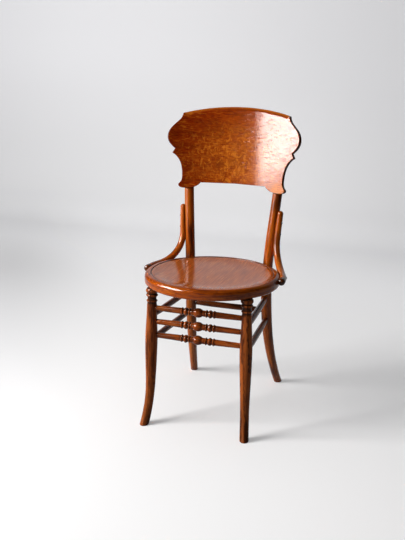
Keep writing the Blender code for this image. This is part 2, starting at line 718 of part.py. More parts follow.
def ring_wall():
    """Cutter that hollows stiles and braces to the ring's outer face."""
    radius = RING_RADIUS + FIT
    low, high = RING_UNDER - 2 * STILE_SEAT_RADIUS, RING_TOP + 2 * STILE_SEAT_RADIUS
    return add_cutter("ring_wall", lathe([(0, low), (radius, low), (radius, high), (0, high)], RING_SIDES))


def stile_wall(side_name):
    """Cutter that hollows a brace to the stile that it lies on."""
    side = SIDES[side_name]
    low, high = SEAT_HEIGHT + STILE_SEAT_RADIUS, SEAT_HEIGHT + BRACE_RISE + 2 * BRACE_TOP_RADIUS
    stations = [(rear_leg_at(height, side), rear_leg_radius(height) + FIT)
                for height in spread(low, high, 12)]
    return add_cutter("stile_wall_" + side_name, tube(stations, LEG_SIDES))


# Fasteners

def seat_sink(radius, head_radius):
    """Depth below a round surface at which a flat seat clears a fastener's head."""
    spot = head_radius + SPOT_MARGIN
    return radius - math.sqrt(radius * radius - spot * spot)


def add_screw(name, seat, out, length, pieces):
    """Round-headed wood screw with its head on a flat seat, and its hole through the given pieces."""
    profile = [(0, SCREW_HEAD_HEIGHT)]
    for turn in spread(math.pi / 2, 0, 3)[1:]:
        profile.append((SCREW_HEAD_RADIUS * math.cos(turn), SCREW_HEAD_HEIGHT * math.sin(turn)))
    profile += [(SCREW_RADIUS, 0), (SCREW_RADIUS, SCREW_POINT - length), (0, -length)]
    add_piece(name, lathe(profile, SCREW_SIDES), "dark_steel", seat + out * FIT, out)
    add_hole(name, seat, out, SCREW_RADIUS, SCREW_HEAD_RADIUS, length, pieces)


def add_hole(name, seat, out, radius, head_radius, length, pieces):
    """Hole with a flat seat for a head, cut from each piece that it passes through."""
    spot = head_radius + SPOT_MARGIN
    bore = radius + FIT
    profile = [(0, spot), (spot, spot), (spot, 0), (bore, 0), (bore, -length), (0, -length)]
    cutter = add_cutter(name, lathe(profile, SCREW_SIDES), seat, out)
    for piece in pieces:
        cut(piece, cutter)


def panel_screws(legs, panel):
    for side_name, side in SIDES.items():
        out = stile_seat_normal(side)
        sunk = STILE_RADIUS - seat_sink(STILE_RADIUS, SCREW_HEAD_RADIUS)
        for level, height in PANEL_SCREW_HEIGHTS.items():
            seat = stile_behind_panel(height, side) + out * sunk
            length = sunk + STILE_RADIUS - STILE_FLAT + PANEL_SCREW_BITE
            add_screw("panel_screw_" + side_name + "_" + level, seat, out, length,
                      (legs["rear_" + side_name], panel))


def brace_screws(legs, braces, ring):
    for side_name, side in SIDES.items():
        out = outward(BRACE_SIDE_ANGLE, side)
        for level, rise in BRACE_SCREW_RISES.items():
            radius = brace_stile_radius(rise)
            sunk = radius - seat_sink(radius, SCREW_HEAD_RADIUS)
            length = sunk + radius - BRACE_STILE_DEPTH + BRACE_SCREW_BITE
            add_screw("brace_screw_" + side_name + "_" + level, brace_on_stile(rise, side) + out * sunk, out,
                      length, (braces[side_name], legs["rear_" + side_name]))
        out = outward(RING_SCREW_ANGLE, side)
        sunk = BRACE_END_RADIUS - seat_sink(BRACE_END_RADIUS, SCREW_HEAD_RADIUS)
        length = sunk + BRACE_END_RADIUS - BRACE_RING_DEPTH + RING_SCREW_BITE
        add_screw("ring_screw_" + side_name, brace_on_ring(RING_SCREW_ANGLE, side) + out * sunk, out, length,
                  (braces[side_name], ring))


def stile_bolts(legs, ring):
    """Bolt through each stile and the ring, with a washer and a nut inside the ring."""
    for side_name, side in SIDES.items():
        out = outward(REAR_SEAT_ANGLE, side)
        radius = rear_leg_radius(BOLT_HEIGHT)
        seat_reach = rear_leg_at(BOLT_HEIGHT, side).dot(out) + radius - seat_sink(radius, BOLT_HEAD_RADIUS)
        level = Z_AXIS * BOLT_HEIGHT
        seat = out * seat_reach + level
        spot_reach = RING_INNER_RADIUS + SPOT_DEPTH
        washer_reach = spot_reach - FIT - WASHER_THICKNESS
        nut_reach = washer_reach - FIT - NUT_THICKNESS
        length = seat_reach - nut_reach + BOLT_TAIL
        profile = [(0, BOLT_HEAD_HEIGHT)]
        for turn in spread(math.pi / 2, 0, 3)[1:]:
            profile.append((BOLT_HEAD_RADIUS * math.cos(turn), BOLT_HEAD_HEIGHT * math.sin(turn)))
        profile += [(BOLT_RADIUS, 0), (BOLT_RADIUS, -length), (0, -length)]
        add_piece("stile_bolt_" + side_name, lathe(profile, SCREW_SIDES), "dark_steel", seat + out * FIT, out)
        add_hole("stile_bolt_" + side_name, seat, out, BOLT_RADIUS, BOLT_HEAD_RADIUS, length + BOLT_TAIL,
                 (legs["rear_" + side_name], ring))
        spot = WASHER_RADIUS + SPOT_MARGIN
        bm = lathe([(0, -WASHER_RADIUS), (spot, -WASHER_RADIUS), (spot, 0), (0, 0)], SCREW_SIDES)
        cut(ring, add_cutter("washer_" + side_name, bm, out * spot_reach + level, out))
        bore = BOLT_RADIUS + FIT
        loop = [(bore, 0), (WASHER_RADIUS, 0), (WASHER_RADIUS, WASHER_THICKNESS), (bore, WASHER_THICKNESS)]
        add_piece("stile_washer_" + side_name, lathe(loop, SCREW_SIDES, closed=True), "dark_steel",
                  out * washer_reach + level, out)
        nut = lathe([(0, 0), (NUT_RADIUS, 0), (NUT_RADIUS, NUT_THICKNESS), (0, NUT_THICKNESS)], 6)
        nut = add_piece("stile_nut_" + side_name, nut, "dark_steel", out * nut_reach + level, out)
        cut(nut, bpy.data.objects["cut_stile_bolt_" + side_name])


# Whole chair

def mortise_ring(ring, side_name):
    """Socket in the ring's underside for a front leg's tenon."""
    top = front_leg_at(RING_UNDER - FIT, SIDES[side_name])
    radius = LEG_TENON_RADIUS + FIT
    depth = LEG_TENON_LENGTH + FIT
    bm = lathe([(0, -depth), (radius, -depth), (radius, depth), (0, depth)], LEG_SIDES)
    cut(ring, add_cutter("leg_tenon_" + side_name, bm, top))


def centre_origin(origin):
    """Move the origin under the middle of the chair's box."""
    bpy.context.view_layer.update()
    places = [obj.matrix_world @ vert.co for obj in bpy.data.objects
              if obj.type == "MESH" and not obj.hide_render for vert in obj.data.vertices]
    depths = [place.y for place in places]
    origin.location.y = -(min(depths) + max(depths)) / 2


def main():
    clear_scene()
    for name in FINISHES:
        make_finish(name)
    origin = bpy.data.objects.new("chair_origin", None)
    bpy.context.collection.objects.link(origin)
    ring = seat_ring()
    seat_panel()
    legs = {}
    for side_name in SIDES:
        legs["front_" + side_name] = front_leg(side_name)
        legs["rear_" + side_name] = rear_leg(side_name)
        mortise_ring(ring, side_name)
        plane_stile_for_panel(legs["rear_" + side_name], side_name)
    front_rungs(legs)
    side_rungs(legs)
    rear_rung(legs)
    panel = back_panel()
    wall = ring_wall()
    braces = {}
    for side_name in SIDES:
        cut(legs["rear_" + side_name], wall)
        braces[side_name] = brace(side_name, wall, stile_wall(side_name))
    panel_screws(legs, panel)
    brace_screws(legs, braces, ring)
    stile_bolts(legs, ring)
    centre_origin(origin)


main()
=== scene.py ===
"""Looks of a bentwood dining chair: fine meshes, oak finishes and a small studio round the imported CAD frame.

Metres, +Z up, -Y is the front of the chair. Paths are laid out about the middle of the seat and moved to
the place where the frame has it.
"""

import json
import math

import bpy
import numpy as np
from bpy.props import FloatProperty, FloatVectorProperty, PointerProperty
from bpy.types import Operator, Panel, PropertyGroup
from mathutils import Matrix, Vector
from mathutils.geometry import delaunay_2d_cdt, interpolate_bezier

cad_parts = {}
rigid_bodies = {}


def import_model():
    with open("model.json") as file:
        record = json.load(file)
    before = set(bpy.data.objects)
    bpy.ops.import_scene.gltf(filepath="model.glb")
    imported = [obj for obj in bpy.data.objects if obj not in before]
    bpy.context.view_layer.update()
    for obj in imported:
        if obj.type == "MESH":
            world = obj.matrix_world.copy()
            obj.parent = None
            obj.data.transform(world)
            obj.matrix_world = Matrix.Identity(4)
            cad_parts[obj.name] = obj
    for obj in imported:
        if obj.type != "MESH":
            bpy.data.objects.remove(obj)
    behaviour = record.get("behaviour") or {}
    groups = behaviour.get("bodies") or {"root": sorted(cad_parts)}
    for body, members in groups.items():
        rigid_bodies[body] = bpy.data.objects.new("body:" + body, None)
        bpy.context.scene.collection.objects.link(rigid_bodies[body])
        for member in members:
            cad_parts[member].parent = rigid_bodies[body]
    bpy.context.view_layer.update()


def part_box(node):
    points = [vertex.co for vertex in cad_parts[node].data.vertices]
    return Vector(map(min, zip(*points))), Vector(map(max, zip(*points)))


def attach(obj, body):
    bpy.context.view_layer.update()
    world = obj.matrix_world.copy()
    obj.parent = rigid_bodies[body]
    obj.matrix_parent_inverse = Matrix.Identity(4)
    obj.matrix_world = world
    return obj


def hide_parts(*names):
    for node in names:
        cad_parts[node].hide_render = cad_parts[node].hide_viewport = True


bl_info = {
    "name": "Bentwood Chair",
    "version": (1, 0, 0),
    "blender": (4, 5, 0),
    "location": "3D View > Sidebar > Chair",
    "description": "Makes the oak pieces, the fasteners and the studio of a bentwood dining chair",
    "category": "Object",
}

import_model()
RING_LOW, RING_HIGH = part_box("seat_ring")
SEAT_MIDDLE = Vector((0, (RING_LOW.y + RING_HIGH.y) / 2, 0))
SIDES = {"left": -1, "right": 1}
X_AXIS = Vector((1, 0, 0))
Z_AXIS = Vector((0, 0, 1))


# Kinds of settings

def length(title, words, default):
    return FloatProperty(name=title, description=words, default=default, unit="LENGTH", precision=4)


def turn(title, words, degrees):
    return FloatProperty(name=title, description=words, default=math.radians(degrees), unit="ROTATION")


def number(title, words, default):
    return FloatProperty(name=title, description=words, default=default, precision=3)


def place(title, words, *default):
    return FloatVectorProperty(name=title, description=words, default=default, size=len(default),
                               unit="LENGTH", precision=4)


def colour(title, words, *default):
    return FloatVectorProperty(name=title, description=words, default=default, size=3, subtype="COLOR",
                               min=0.0, max=1.0)


class SeatSizes(PropertyGroup):
    """Bent ring and pressed panel of the seat"""
    height: length("Seat height", "Floor to the top of the ring", RING_HIGH.z)
    radius: length("Ring radius", "Middle of the seat to the outside of the ring", RING_HIGH.x)
    depth: length("Ring depth", "Top to underside of the ring", RING_HIGH.z - RING_LOW.z)
    width: length("Ring width", "Inside to outside of the ring", 0.040)
    top_round: length("Top round", "Rounding of the outer top edge", 0.012)
    under_round: length("Under round", "Rounding of the outer lower edge", 0.006)
    rebate_width: length("Rebate width", "Ledge that carries the panel", 0.021)
    rebate_depth: length("Rebate depth", "Ring's top to the ledge", 0.0078)
    lip_round: length("Lip round", "Rounding of the edge round the panel", 0.0022)
    panel_thickness: length("Panel thickness", "Thickness of the pressed disc", 0.0062)
    panel_edge: length("Panel edge", "Rounding of the disc's rim", 0.0015)
    rim_width: length("Rim width", "Flat border of the disc", 0.009)
    dish: length("Dish", "Depth pressed into the disc", 0.0045)
    dish_power: number("Dish power", "How suddenly the dish rises to its rim", 6.0)
    fit: length("Fit", "Gap between neighbouring pieces", 0.0003)


class FrontLegSizes(PropertyGroup):
    """Front legs with their turned tops"""
    reach: length("Reach", "Middle of the seat to the top of the leg", 0.189)
    angle: turn("Angle", "From the side of the chair towards the front", 41.3)
    lean: number("Lean", "Outward run for each metre down", 0.0125)
    kick: length("Kick", "Forward sweep of the foot", 0.0286)
    spread: length("Spread", "Sideways sweep of the foot", 0.0078)
    kick_height: length("Kick height", "Height at which the sweep starts", 0.175)
    kick_power: number("Kick power", "How suddenly the foot sweeps out", 2.8)
    foot_radius: length("Foot radius", "Half thickness at the floor", 0.0132)
    ankle_height: length("Ankle height", "Height up to which the foot keeps its thickness", 0.060)
    swell_radius: length("Swell radius", "Half thickness at the thickest place", 0.0182)
    swell_drop: length("Swell drop", "Ring's underside to the thickest place", 0.158)
    top_radius: length("Top radius", "Half thickness under the turned top", 0.0146)
    cup_top: length("Cup top", "Radius against the ring", 0.0150)
    cup: length("Cup", "Radius of the cup", 0.0182)
    cup_length: length("Cup length", "Height of the cup", 0.0165)
    cup_foot: length("Cup foot", "Radius under the cup", 0.0136)
    upper_bead: length("Upper bead", "Radius of the upper bead", 0.0172)
    upper_bead_length: length("Upper bead length", "Height of the upper bead", 0.0095)
    cove: length("Cove", "Radius of the hollow between the beads", 0.0128)
    cove_length: length("Cove length", "Height of the hollow", 0.0080)
    lower_bead: length("Lower bead", "Radius of the lower bead", 0.0160)
    lower_bead_length: length("Lower bead length", "Height of the lower bead", 0.0070)
    neck: length("Neck", "Radius under the lower bead", 0.0138)
    neck_length: length("Neck length", "Height of the neck", 0.0100)


class RearLegSizes(PropertyGroup):
    """Rear legs, bent up into the stiles of the back"""
    foot_side: length("Foot side", "Middle of the chair to the foot", 0.152)
    foot_back: length("Foot back", "Middle of the seat to the foot", 0.296)
    foot_side_slope: number("Foot side slope", "Sideways run at the foot", -0.150)
    foot_back_slope: number("Foot back slope", "Backward run at the foot", -0.660)
    seat_angle: turn("Seat angle", "From the side of the chair towards the back", 53.0)
    seat_slope: number("Seat slope", "Outward run at the seat", 0.030)
    saddle: length("Saddle", "Depth hollowed out against the ring", 0.0025)
    foot_radius: length("Foot radius", "Half thickness at the floor", 0.0127)
    swell_radius: length("Swell radius", "Half thickness at the thickest place", 0.0170)
    swell_drop: length("Swell drop", "Ring's underside to the thickest place", 0.130)
    seat_radius: length("Seat radius", "Half thickness at the seat", 0.0154)
    stile_radius: length("Stile radius", "Half thickness behind the back panel", 0.0150)
    top_height: length("Top height", "Stile's top above the panel's lower line", 0.178)
    top_dome: length("Top dome", "Rounding of the stile's top", 0.006)
    flat: length("Flat", "Depth planed off behind the panel", 0.0065)
    splay: number("Splay", "Sideways run of the stile up the panel", 0.065)


class BackSizes(PropertyGroup):
    """Shaped and curved back panel; outline points are half widths and heights on its face"""
    rise: length("Rise", "Seat height to the panel's lower line", 0.2196)
    setback: length("Setback", "Middle of the seat to the panel's face", 0.2022)
    lean: turn("Lean", "Backward lean of the panel", 9.75)
    curve_radius: length("Curve radius", "Radius that the panel is bent to", 0.414)
    thickness: length("Thickness", "Thickness of the panel", 0.012)
    cut: length("Cut", "Place in the log that the panel's figure comes from", 0.110)
    edge_round: length("Edge round", "Rounding of the front edge", 0.0014)
    top_round: length("Top round", "Width of the moulding along the top edge", 0.0105)
    top_sink: length("Top sink", "Depth of the moulding along the top edge", 0.0066)
    rear_round: length("Rear round", "Rounding of the rear edge", 0.0013)
    stile_arc: length("Stile arc", "Middle of the panel to the stile", 0.1458)
    crown: length("Crown", "Height in the middle of the top", 0.2545)
    top: place("Top corner", "End of the crowned top", 0.1738, 0.2268)
    shoulder: place("Shoulder", "Below the top corner", 0.1840, 0.2050)
    ear: place("Ear", "Widest place", 0.2180, 0.1515)
    notch: place("Notch", "Inner corner below the ear", 0.1933, 0.1147)
    lip: place("Lip", "Small point below the notch", 0.1998, 0.1024)
    lip_root: place("Lip root", "Under the small point", 0.1930, 0.0965)
    waist: place("Waist", "Narrowest place", 0.1658, 0.0256)
    curl: place("Curl", "Outer end of the lower lobe", 0.1746, 0.0060)
    lobe: place("Lobe", "Lowest place", 0.1623, -0.0072)
    corner: place("Corner", "Inner end of the lower lobe", 0.1059, 0.0130)
    middle: length("Middle", "Height of the lower edge in the middle", 0.0162)


class RungSizes(PropertyGroup):
    """Turned front rungs and plain side and rear rungs"""
    front_drop: length("Front drop", "Ring's underside to the top front rung", 0.0595)
    front_step: length("Front step", "From one front rung to the next", 0.0413)
    socket: length("Socket", "Depth of the rung's end in the leg", 0.0125)
    end: length("End", "Radius of a rung's end", 0.0078)
    front: length("Front", "Radius of a front rung", 0.0092)
    ball: length("Ball", "Radius of the ball in the middle", 0.0138)
    ball_half_length: length("Ball half length", "Half the length of the ball", 0.0175)
    ball_neck: length("Ball neck", "Radius beside the ball", 0.0082)
    ball_reach: length("Ball reach", "Half the length of the oval that the ball is turned to", 0.0168)
    ball_flare: length("Ball flare", "How much wider the neck is next to the ball", 0.0009)
    ball_neck_length: length("Ball neck length", "Length of the neck beside the ball", 0.0045)
    disc: length("Disc", "Radius of a disc", 0.0112)
    disc_length: length("Disc length", "Thickness of a disc", 0.0060)
    groove: length("Groove", "Radius of a groove", 0.0084)
    groove_length: length("Groove length", "Width of a groove", 0.0024)
    barrel: length("Barrel", "Radius of a barrel", 0.0117)
    barrel_length: length("Barrel length", "Length of a barrel", 0.0122)
    upper_drop: length("Upper drop", "Ring's underside to the upper side rungs", 0.0850)
    lower_drop: length("Lower drop", "Ring's underside to the lower side rungs", 0.1590)
    rear_drop: length("Rear drop", "Ring's underside to the rear rung", 0.1305)
    plain: length("Plain", "Radius of a plain rung", 0.0095)


class BraceSizes(PropertyGroup):
    """Bent braces from the stiles to the ring"""
    rise: length("Rise", "Seat height to the brace's top", 0.155)
    leave_rise: length("Leave rise", "Height at which it leaves the stile", 0.080)
    side_angle: turn("Side angle", "Place on the stile, from straight out", -16.0)
    land_angle: turn("Land angle", "Where it meets the ring", 18.0)
    end_angle: turn("End angle", "Where it ends on the ring", 0.8)
    drop: length("Drop", "Ring's top to the brace's middle", 0.0110)
    leave_pull: length("Leave pull", "Roundness of the upper bend", 0.052)
    land_pull: length("Land pull", "Roundness of the lower bend", 0.080)
    top_radius: length("Top radius", "Half thickness at the top", 0.0090)
    bend_radius: length("Bend radius", "Half thickness in the bend", 0.0102)
    end_radius: length("End radius", "Half thickness on the ring", 0.0110)
    stile_depth: length("Stile depth", "Depth hollowed out against the stile", 0.0040)
    ring_depth: length("Ring depth", "Depth hollowed out against the ring", 0.0028)
    dome: length("Dome", "Rounding of the ends", 0.0085)


class FastenerSizes(PropertyGroup):
    """Wood screws, bolts, washers and nuts"""
    screw: length("Screw", "Radius of the shank", 0.0020)
    screw_head: length("Screw head", "Radius of the head", 0.0040)
    screw_head_height: length("Screw head height", "Height of the head", 0.0022)
    screw_point: length("Screw point", "Length of the point", 0.0030)
    slot_width: length("Slot width", "Width of the slot in a head", 0.0011)
    slot_depth: length("Slot depth", "Depth of the slot in a head", 0.0011)
    bolt: length("Bolt", "Radius of the bolt", 0.0030)
    bolt_head: length("Bolt head", "Radius of the bolt's head", 0.0066)
    bolt_head_height: length("Bolt head height", "Height of the bolt's head", 0.0032)
    bolt_tail: length("Bolt tail", "Length past the nut", 0.0025)
    bolt_edge: length("Bolt edge", "Wood left under the washer's seat", 0.0015)
    washer: length("Washer", "Radius of the washer", 0.0080)
    washer_thickness: length("Washer thickness", "Thickness of the washer", 0.0014)
    nut: length("Nut", "Radius of the nut over its corners", 0.0064)
    nut_thickness: length("Nut thickness", "Thickness of the nut", 0.0048)
    margin: length("Margin", "Flat seat round a head", 0.0005)
    spot_depth: length("Spot depth", "Flat seat inside the ring", 0.0008)
    panel_bite: length("Panel bite", "Reach of a screw into the back panel", 0.0085)
    panel_lower: length("Panel lower", "Height of the lower panel screws", 0.028)
    panel_upper: length("Panel upper", "Height of the upper panel screws", 0.140)
    brace_bite: length("Brace bite", "Reach of a screw into the stile", 0.014)
    brace_upper: length("Brace upper", "Rise of the upper brace screws", 0.127)
    brace_lower: length("Brace lower", "Rise of the lower brace screws", 0.092)
    ring_angle: turn("Ring angle", "Place of the screws into the ring", 13.0)
    ring_bite: length("Ring bite", "Reach of a screw into the ring", 0.016)


class FinishColours(PropertyGroup):
    """Tones of the stained oak, the steel and the studio"""
    back_dark: colour("Back dark", "Dark grain of the back panel", 0.105, 0.008, 0.001)
    back_mid: colour("Back middle", "Body of the back panel", 0.205, 0.021, 0.001)
    back_light: colour("Back light", "Flecks of the back panel", 0.505, 0.148, 0.012)
    seat_dark: colour("Seat dark", "Dark grain of the seat panel", 0.230, 0.046, 0.007)
    seat_mid: colour("Seat middle", "Body of the seat panel", 0.325, 0.071, 0.011)
    seat_light: colour("Seat light", "Flecks of the seat panel", 0.500, 0.150, 0.032)
    ring_dark: colour("Ring dark", "Dark grain of the ring", 0.095, 0.012, 0.001)
    ring_mid: colour("Ring middle", "Body of the ring", 0.285, 0.050, 0.002)
    ring_light: colour("Ring light", "Worn places of the ring", 0.440, 0.118, 0.006)
    bent_dark: colour("Bent dark", "Dark grain of the rear legs and braces", 0.060, 0.010, 0.002)
    bent_mid: colour("Bent middle", "Body of the rear legs and braces", 0.340, 0.070, 0.004)
    bent_light: colour("Bent light", "Worn places of the rear legs and braces", 0.480, 0.140, 0.014)
    leg_dark: colour("Leg dark", "Dark grain of the front legs", 0.050, 0.009, 0.002)
    leg_mid: colour("Leg middle", "Body of the front legs", 0.285, 0.068, 0.013)
    leg_light: colour("Leg light", "Worn places of the front legs", 0.400, 0.105, 0.016)
    rung_dark: colour("Rung dark", "Dark grain of the rungs", 0.050, 0.011, 0.003)
    rung_mid: colour("Rung middle", "Body of the rungs", 0.215, 0.042, 0.005)
    rung_light: colour("Rung light", "Worn places of the rungs", 0.360, 0.105, 0.024)
    # Dark colour mixed in where the wear value is below zero: dirt, and painted shade in grooves, joints and
    # under the seat.
    dirt_and_shade: colour("Grime", "Dirt in grooves and corners", 0.016, 0.006, 0.003)
    steel: colour("Steel", "Dulled steel of the fasteners", 0.115, 0.098, 0.080)
    rust: colour("Rust", "Browned places of the steel", 0.060, 0.026, 0.012)
    # Floor and wall tones vary with place and stand in for how the window's light falls: painted light and
    # shade on the sheet.
    floor: colour("Floor", "Pale floor", 0.343, 0.343, 0.347)
    floor_near_painted_light: colour("Floor near", "Floor at the front, away from the window", 0.370, 0.370, 0.374)
    floor_far_painted_light: colour("Floor far", "Floor far behind the chair", 0.428, 0.429, 0.438)
    floor_left_painted_shade: colour("Floor left", "Floor on the window's side", 0.272, 0.273, 0.279)
    floor_right_painted_shade: colour("Floor right", "Floor far back on the other side", 0.360, 0.361, 0.369)
    wall: colour("Wall", "Pale backdrop", 0.478, 0.479, 0.494)
    wall_far_painted_shade: colour("Wall far", "Pale backdrop away from the window", 0.335, 0.336, 0.346)


class StudioSizes(PropertyGroup):
    """Camera, lights and backdrop"""
    camera: place("Camera", "Place of the camera", 0.6251, -2.0583, 1.0199)
    yaw: turn("Yaw", "Camera's turn to the left", 18.131)
    pitch: turn("Pitch", "Camera's tilt down", 15.086)
    roll: turn("Roll", "Camera's roll", 0.951)
    lens: number("Lens", "Focal length in millimetres on a 36 mm frame", 48.69)
    window: place("Window", "Middle of the large soft light", -2.06, -1.36, 1.45)
    window_width: length("Window width", "Width of the soft light", 1.20)
    window_height: length("Window height", "Height of the soft light", 1.50)
    window_power: number("Window power", "Watts of the soft light", 132.0)
    window_edge: length("Window edge", "Edge of the mirrored window nearest to the camera", 0.80)
    window_slant: number("Window slant", "Run of that edge for each metre up", 0.27)
    window_soft: length("Window softness", "Half width of the mirrored window's soft edge", 0.25)
    glint: number("Glint", "Level of the window that the varnish mirrors", 105.0)
    sky_light: number("Sky light", "Level of the light from above on the window's side", 0.45)
    sky_shade: number("Sky shade", "Level of the light from the far side", 0.015)
    pale: number("Pale", "Level of the empty background", 0.66)
    lift: number("Lift", "Level added to floor and backdrop as they are seen", 0.61)
    fullness: number("Fullness", "How much paler floor and backdrop are as they are seen", 1.97)
    floor_thrown: number("Floor thrown", "Share of its colour that the floor throws on the chair", 0.85)
    wall_thrown: number("Wall thrown", "Share of its colour that the backdrop throws on the chair", 1.50)
    wall_back: length("Wall back", "Chair to the backdrop", 3.2)
    bend: length("Bend", "Radius between floor and backdrop", 0.9)


class ChairSettings(PropertyGroup):
    """Every size and colour of the chair and its studio"""
    seat: PointerProperty(type=SeatSizes)
    front: PointerProperty(type=FrontLegSizes)
    rear: PointerProperty(type=RearLegSizes)
    back: PointerProperty(type=BackSizes)
    rungs: PointerProperty(type=RungSizes)
    brace: PointerProperty(type=BraceSizes)
    metal: PointerProperty(type=FastenerSizes)
    tones: PointerProperty(type=FinishColours)
    studio: PointerProperty(type=StudioSizes)


# Meshes with grain

SMOOTH_BELOW = 40.0
DOME_DEGREES = 88.0


def finish_piece(name, shape, material, node, sharp=SMOOTH_BELOW, normals=None):
    """Piece that stands for a node. Its shape is verts, faces, each corner's place in the stick, and wear,
    dirt and painted shade.
    """
    verts, faces, sticks, worn_and_shaded = shape
    mesh = bpy.data.meshes.new(name)
    mesh.from_pydata([tuple(vert) for vert in verts], [], faces)
    stick = mesh.attributes.new("stick", "FLOAT_VECTOR", "CORNER")
    stick.data.foreach_set("vector", np.asarray(sticks, np.float32).ravel())
    wear_and_shade = mesh.attributes.new("worn_and_shaded", "FLOAT", "POINT")
    wear_and_shade.data.foreach_set("value", np.asarray(worn_and_shaded, np.float32).ravel())
    mesh.shade_smooth()
    if normals is None:
        mesh.set_sharp_from_angle(angle=math.radians(sharp))
    else:
        mesh.normals_split_custom_set_from_vertices([tuple(normal) for normal in normals])
    mesh.materials.append(material)
    obj = bpy.data.objects.new(name, mesh)
    bpy.context.scene.collection.objects.link(obj)
    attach(obj, "root")
    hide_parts(node)
    return obj


def skin(points, sticks, worn_and_shaded, ring=False):
    """Shape over a grid of closed sections: rows along it, columns round it. A ring closes on itself.

    Wear, dirt and painted shade are given for each point, or for each row.
    """
    rows, columns, _ = points.shape
    if worn_and_shaded.ndim == 1:
        worn_and_shaded = np.repeat(worn_and_shaded[:, None], columns, axis=1)
    verts = [tuple(point) for point in points.reshape(-1, 3)]
    wear_and_shade = list(worn_and_shaded.reshape(-1))
    faces, corners = [], []
    for row in range(rows if ring else rows - 1):
        after = (row + 1) % rows
        for column in range(columns):
            beside = (column + 1) % columns
            faces.append((row * columns + column, row * columns + beside,
                          after * columns + beside, after * columns + column))
            corners += [sticks[row, column], sticks[row, column + 1],
                        sticks[row + 1, column + 1], sticks[row + 1, column]]
    if not ring:
        for row, turned in ((0, True), (rows - 1, False)):
            middle = len(verts)
            verts.append(tuple(points[row].mean(axis=0)))
            wear_and_shade.append(float(worn_and_shaded[row].mean()))
            heart = sticks[row, :columns].mean(axis=0)
            for column in range(columns):
                pair = (column, column + 1)
                if turned:
                    pair = (column + 1, column)
                faces.append((row * columns + pair[0] % columns, row * columns + pair[1] % columns, middle))
                corners += [sticks[row, pair[0]], sticks[row, pair[1]], heart]
    return verts, faces, corners, wear_and_shade


def tube(stations, sides, start, floor_cut=0.0, guide=X_AXIS):
    """Sections square to a run of (middle, radius) stations, with each point's place in the straight stick.

    Each section starts on the side that guide points to. Near the floor, sections are sheared level over the
    height floor_cut.
    """
    middles = [Vector(middle) for middle, _ in stations]
    points = np.zeros((len(stations), sides, 3))
    sticks = np.zeros((len(stations), sides + 1, 3))
    along = 0.0
    for row, (_, radius) in enumerate(stations):
        before = middles[max(row - 1, 0)]
        after = middles[min(row + 1, len(middles) - 1)]
        run = (after - before).normalized()
        across = (guide - run * guide.dot(run)).normalized()
        up = run.cross(across)
        level = 0.0
        if floor_cut:
            level = min(max(1 - middles[row].z / floor_cut, 0.0), 1.0)
        along += (middles[row] - before).length
        for side in range(sides + 1):
            around = math.tau * side / sides
            offset = (across * math.cos(around) + up * math.sin(around)) * radius
            offset -= run * (level * offset.z / run.z if level else 0.0)
            if side < sides:
                points[row, side] = middles[row] + offset
            sticks[row, side] = (start[0] + radius * math.cos(around), start[1] + radius * math.sin(around),
                                 start[2] + along)
    return points, sticks


def wear_and_shade_along(stations, rubbed_and_shaded, reach=0.006, depth=0.0018):
    """Wear from a turned outline: proud places are rubbed by the given share; hollows are darkened with dirt
    and painted shade.
    """
    middles = [Vector(middle) for middle, _ in stations]
    places = np.cumsum([0.0] + [(after - before).length for before, after in zip(middles, middles[1:])])
    radii = np.array([radius for _, radius in stations])
    worn_and_shaded = np.zeros(len(stations))
    for row, at in enumerate(places):
        near = np.abs(places - at) < reach
        proud = np.clip((radii[row] - radii[near].mean()) / depth, -1.0, 1.0)
        worn_and_shaded[row] = proud * (rubbed_and_shaded if proud > 0 else 1.0)
    return worn_and_shaded


def round_end(middle, out, radius, height, steps=10):
    """Stations that round off the end of a rod."""
    stations = []
    for step in range(1, steps + 1):
        around = math.radians(DOME_DEGREES) * step / steps
        stations.append((middle + out * (height * math.sin(around)), radius * math.cos(around)))
    return stations


def ramp(value, low, high):
    """Share from 0 to 1, eased, as a value goes from low to high."""
    share = min(max((value - low) / (high - low), 0.0), 1.0)
    return share * share * (3 - 2 * share)


def eased(points, at):
    """Value at a place along rising (place, value) points, eased from each point to the next."""
    for (low, first), (high, second) in zip(points, points[1:]):
        if at <= high:
            return first + (second - first) * ramp(at, low, high)
    return points[-1][1]


def hermite(start, end, start_slope, end_slope, share, span):
    """Cubic between two places with the given slopes."""
    square = share * share
    cube = square * share
    return ((2 * cube - 3 * square + 1) * start + (3 * square - 2 * cube) * end
            + (cube - 2 * square + share) * span * start_slope + (cube - square) * span * end_slope)


def spread(start, end, count):
    """Even steps from start to end, both included."""
    return [start + (end - start) * step / count for step in range(count + 1)]


def arc(across, up, radius, start, end, steps):
    """Outline points round a middle, from one angle in quarter turns to another."""
    return [(across + radius * math.cos(around), up + radius * math.sin(around))
            for around in spread(start * math.pi / 2, end * math.pi / 2, steps)]


def bead(start, reach, first, middle, last, steps):
    """Turned (place, radius) points that swell or hollow from one radius to another."""
    points = []
    for step in range(1, steps + 1):
        share = step / steps
        swell = (middle - (first + last) / 2) * math.sin(math.pi * share)
        points.append((start + reach * share, first + (last - first) * share + swell))
    return points


def add_beads(points, features):
    """Turned outline extended by a bead for each feature: length, middle radius, last radius and steps."""
    for reach, swell, last, steps in features:
        start, first = points[-1]
        points += bead(start, reach, first, swell, last, steps)


# Places that several pieces share

NOT_ZERO = 1e-6


def ring_under(c):
    return c.seat.height - c.seat.depth


def turning_length(c):
    f = c.front
    return f.cup_length + f.upper_bead_length + f.cove_length + f.lower_bead_length + f.neck_length


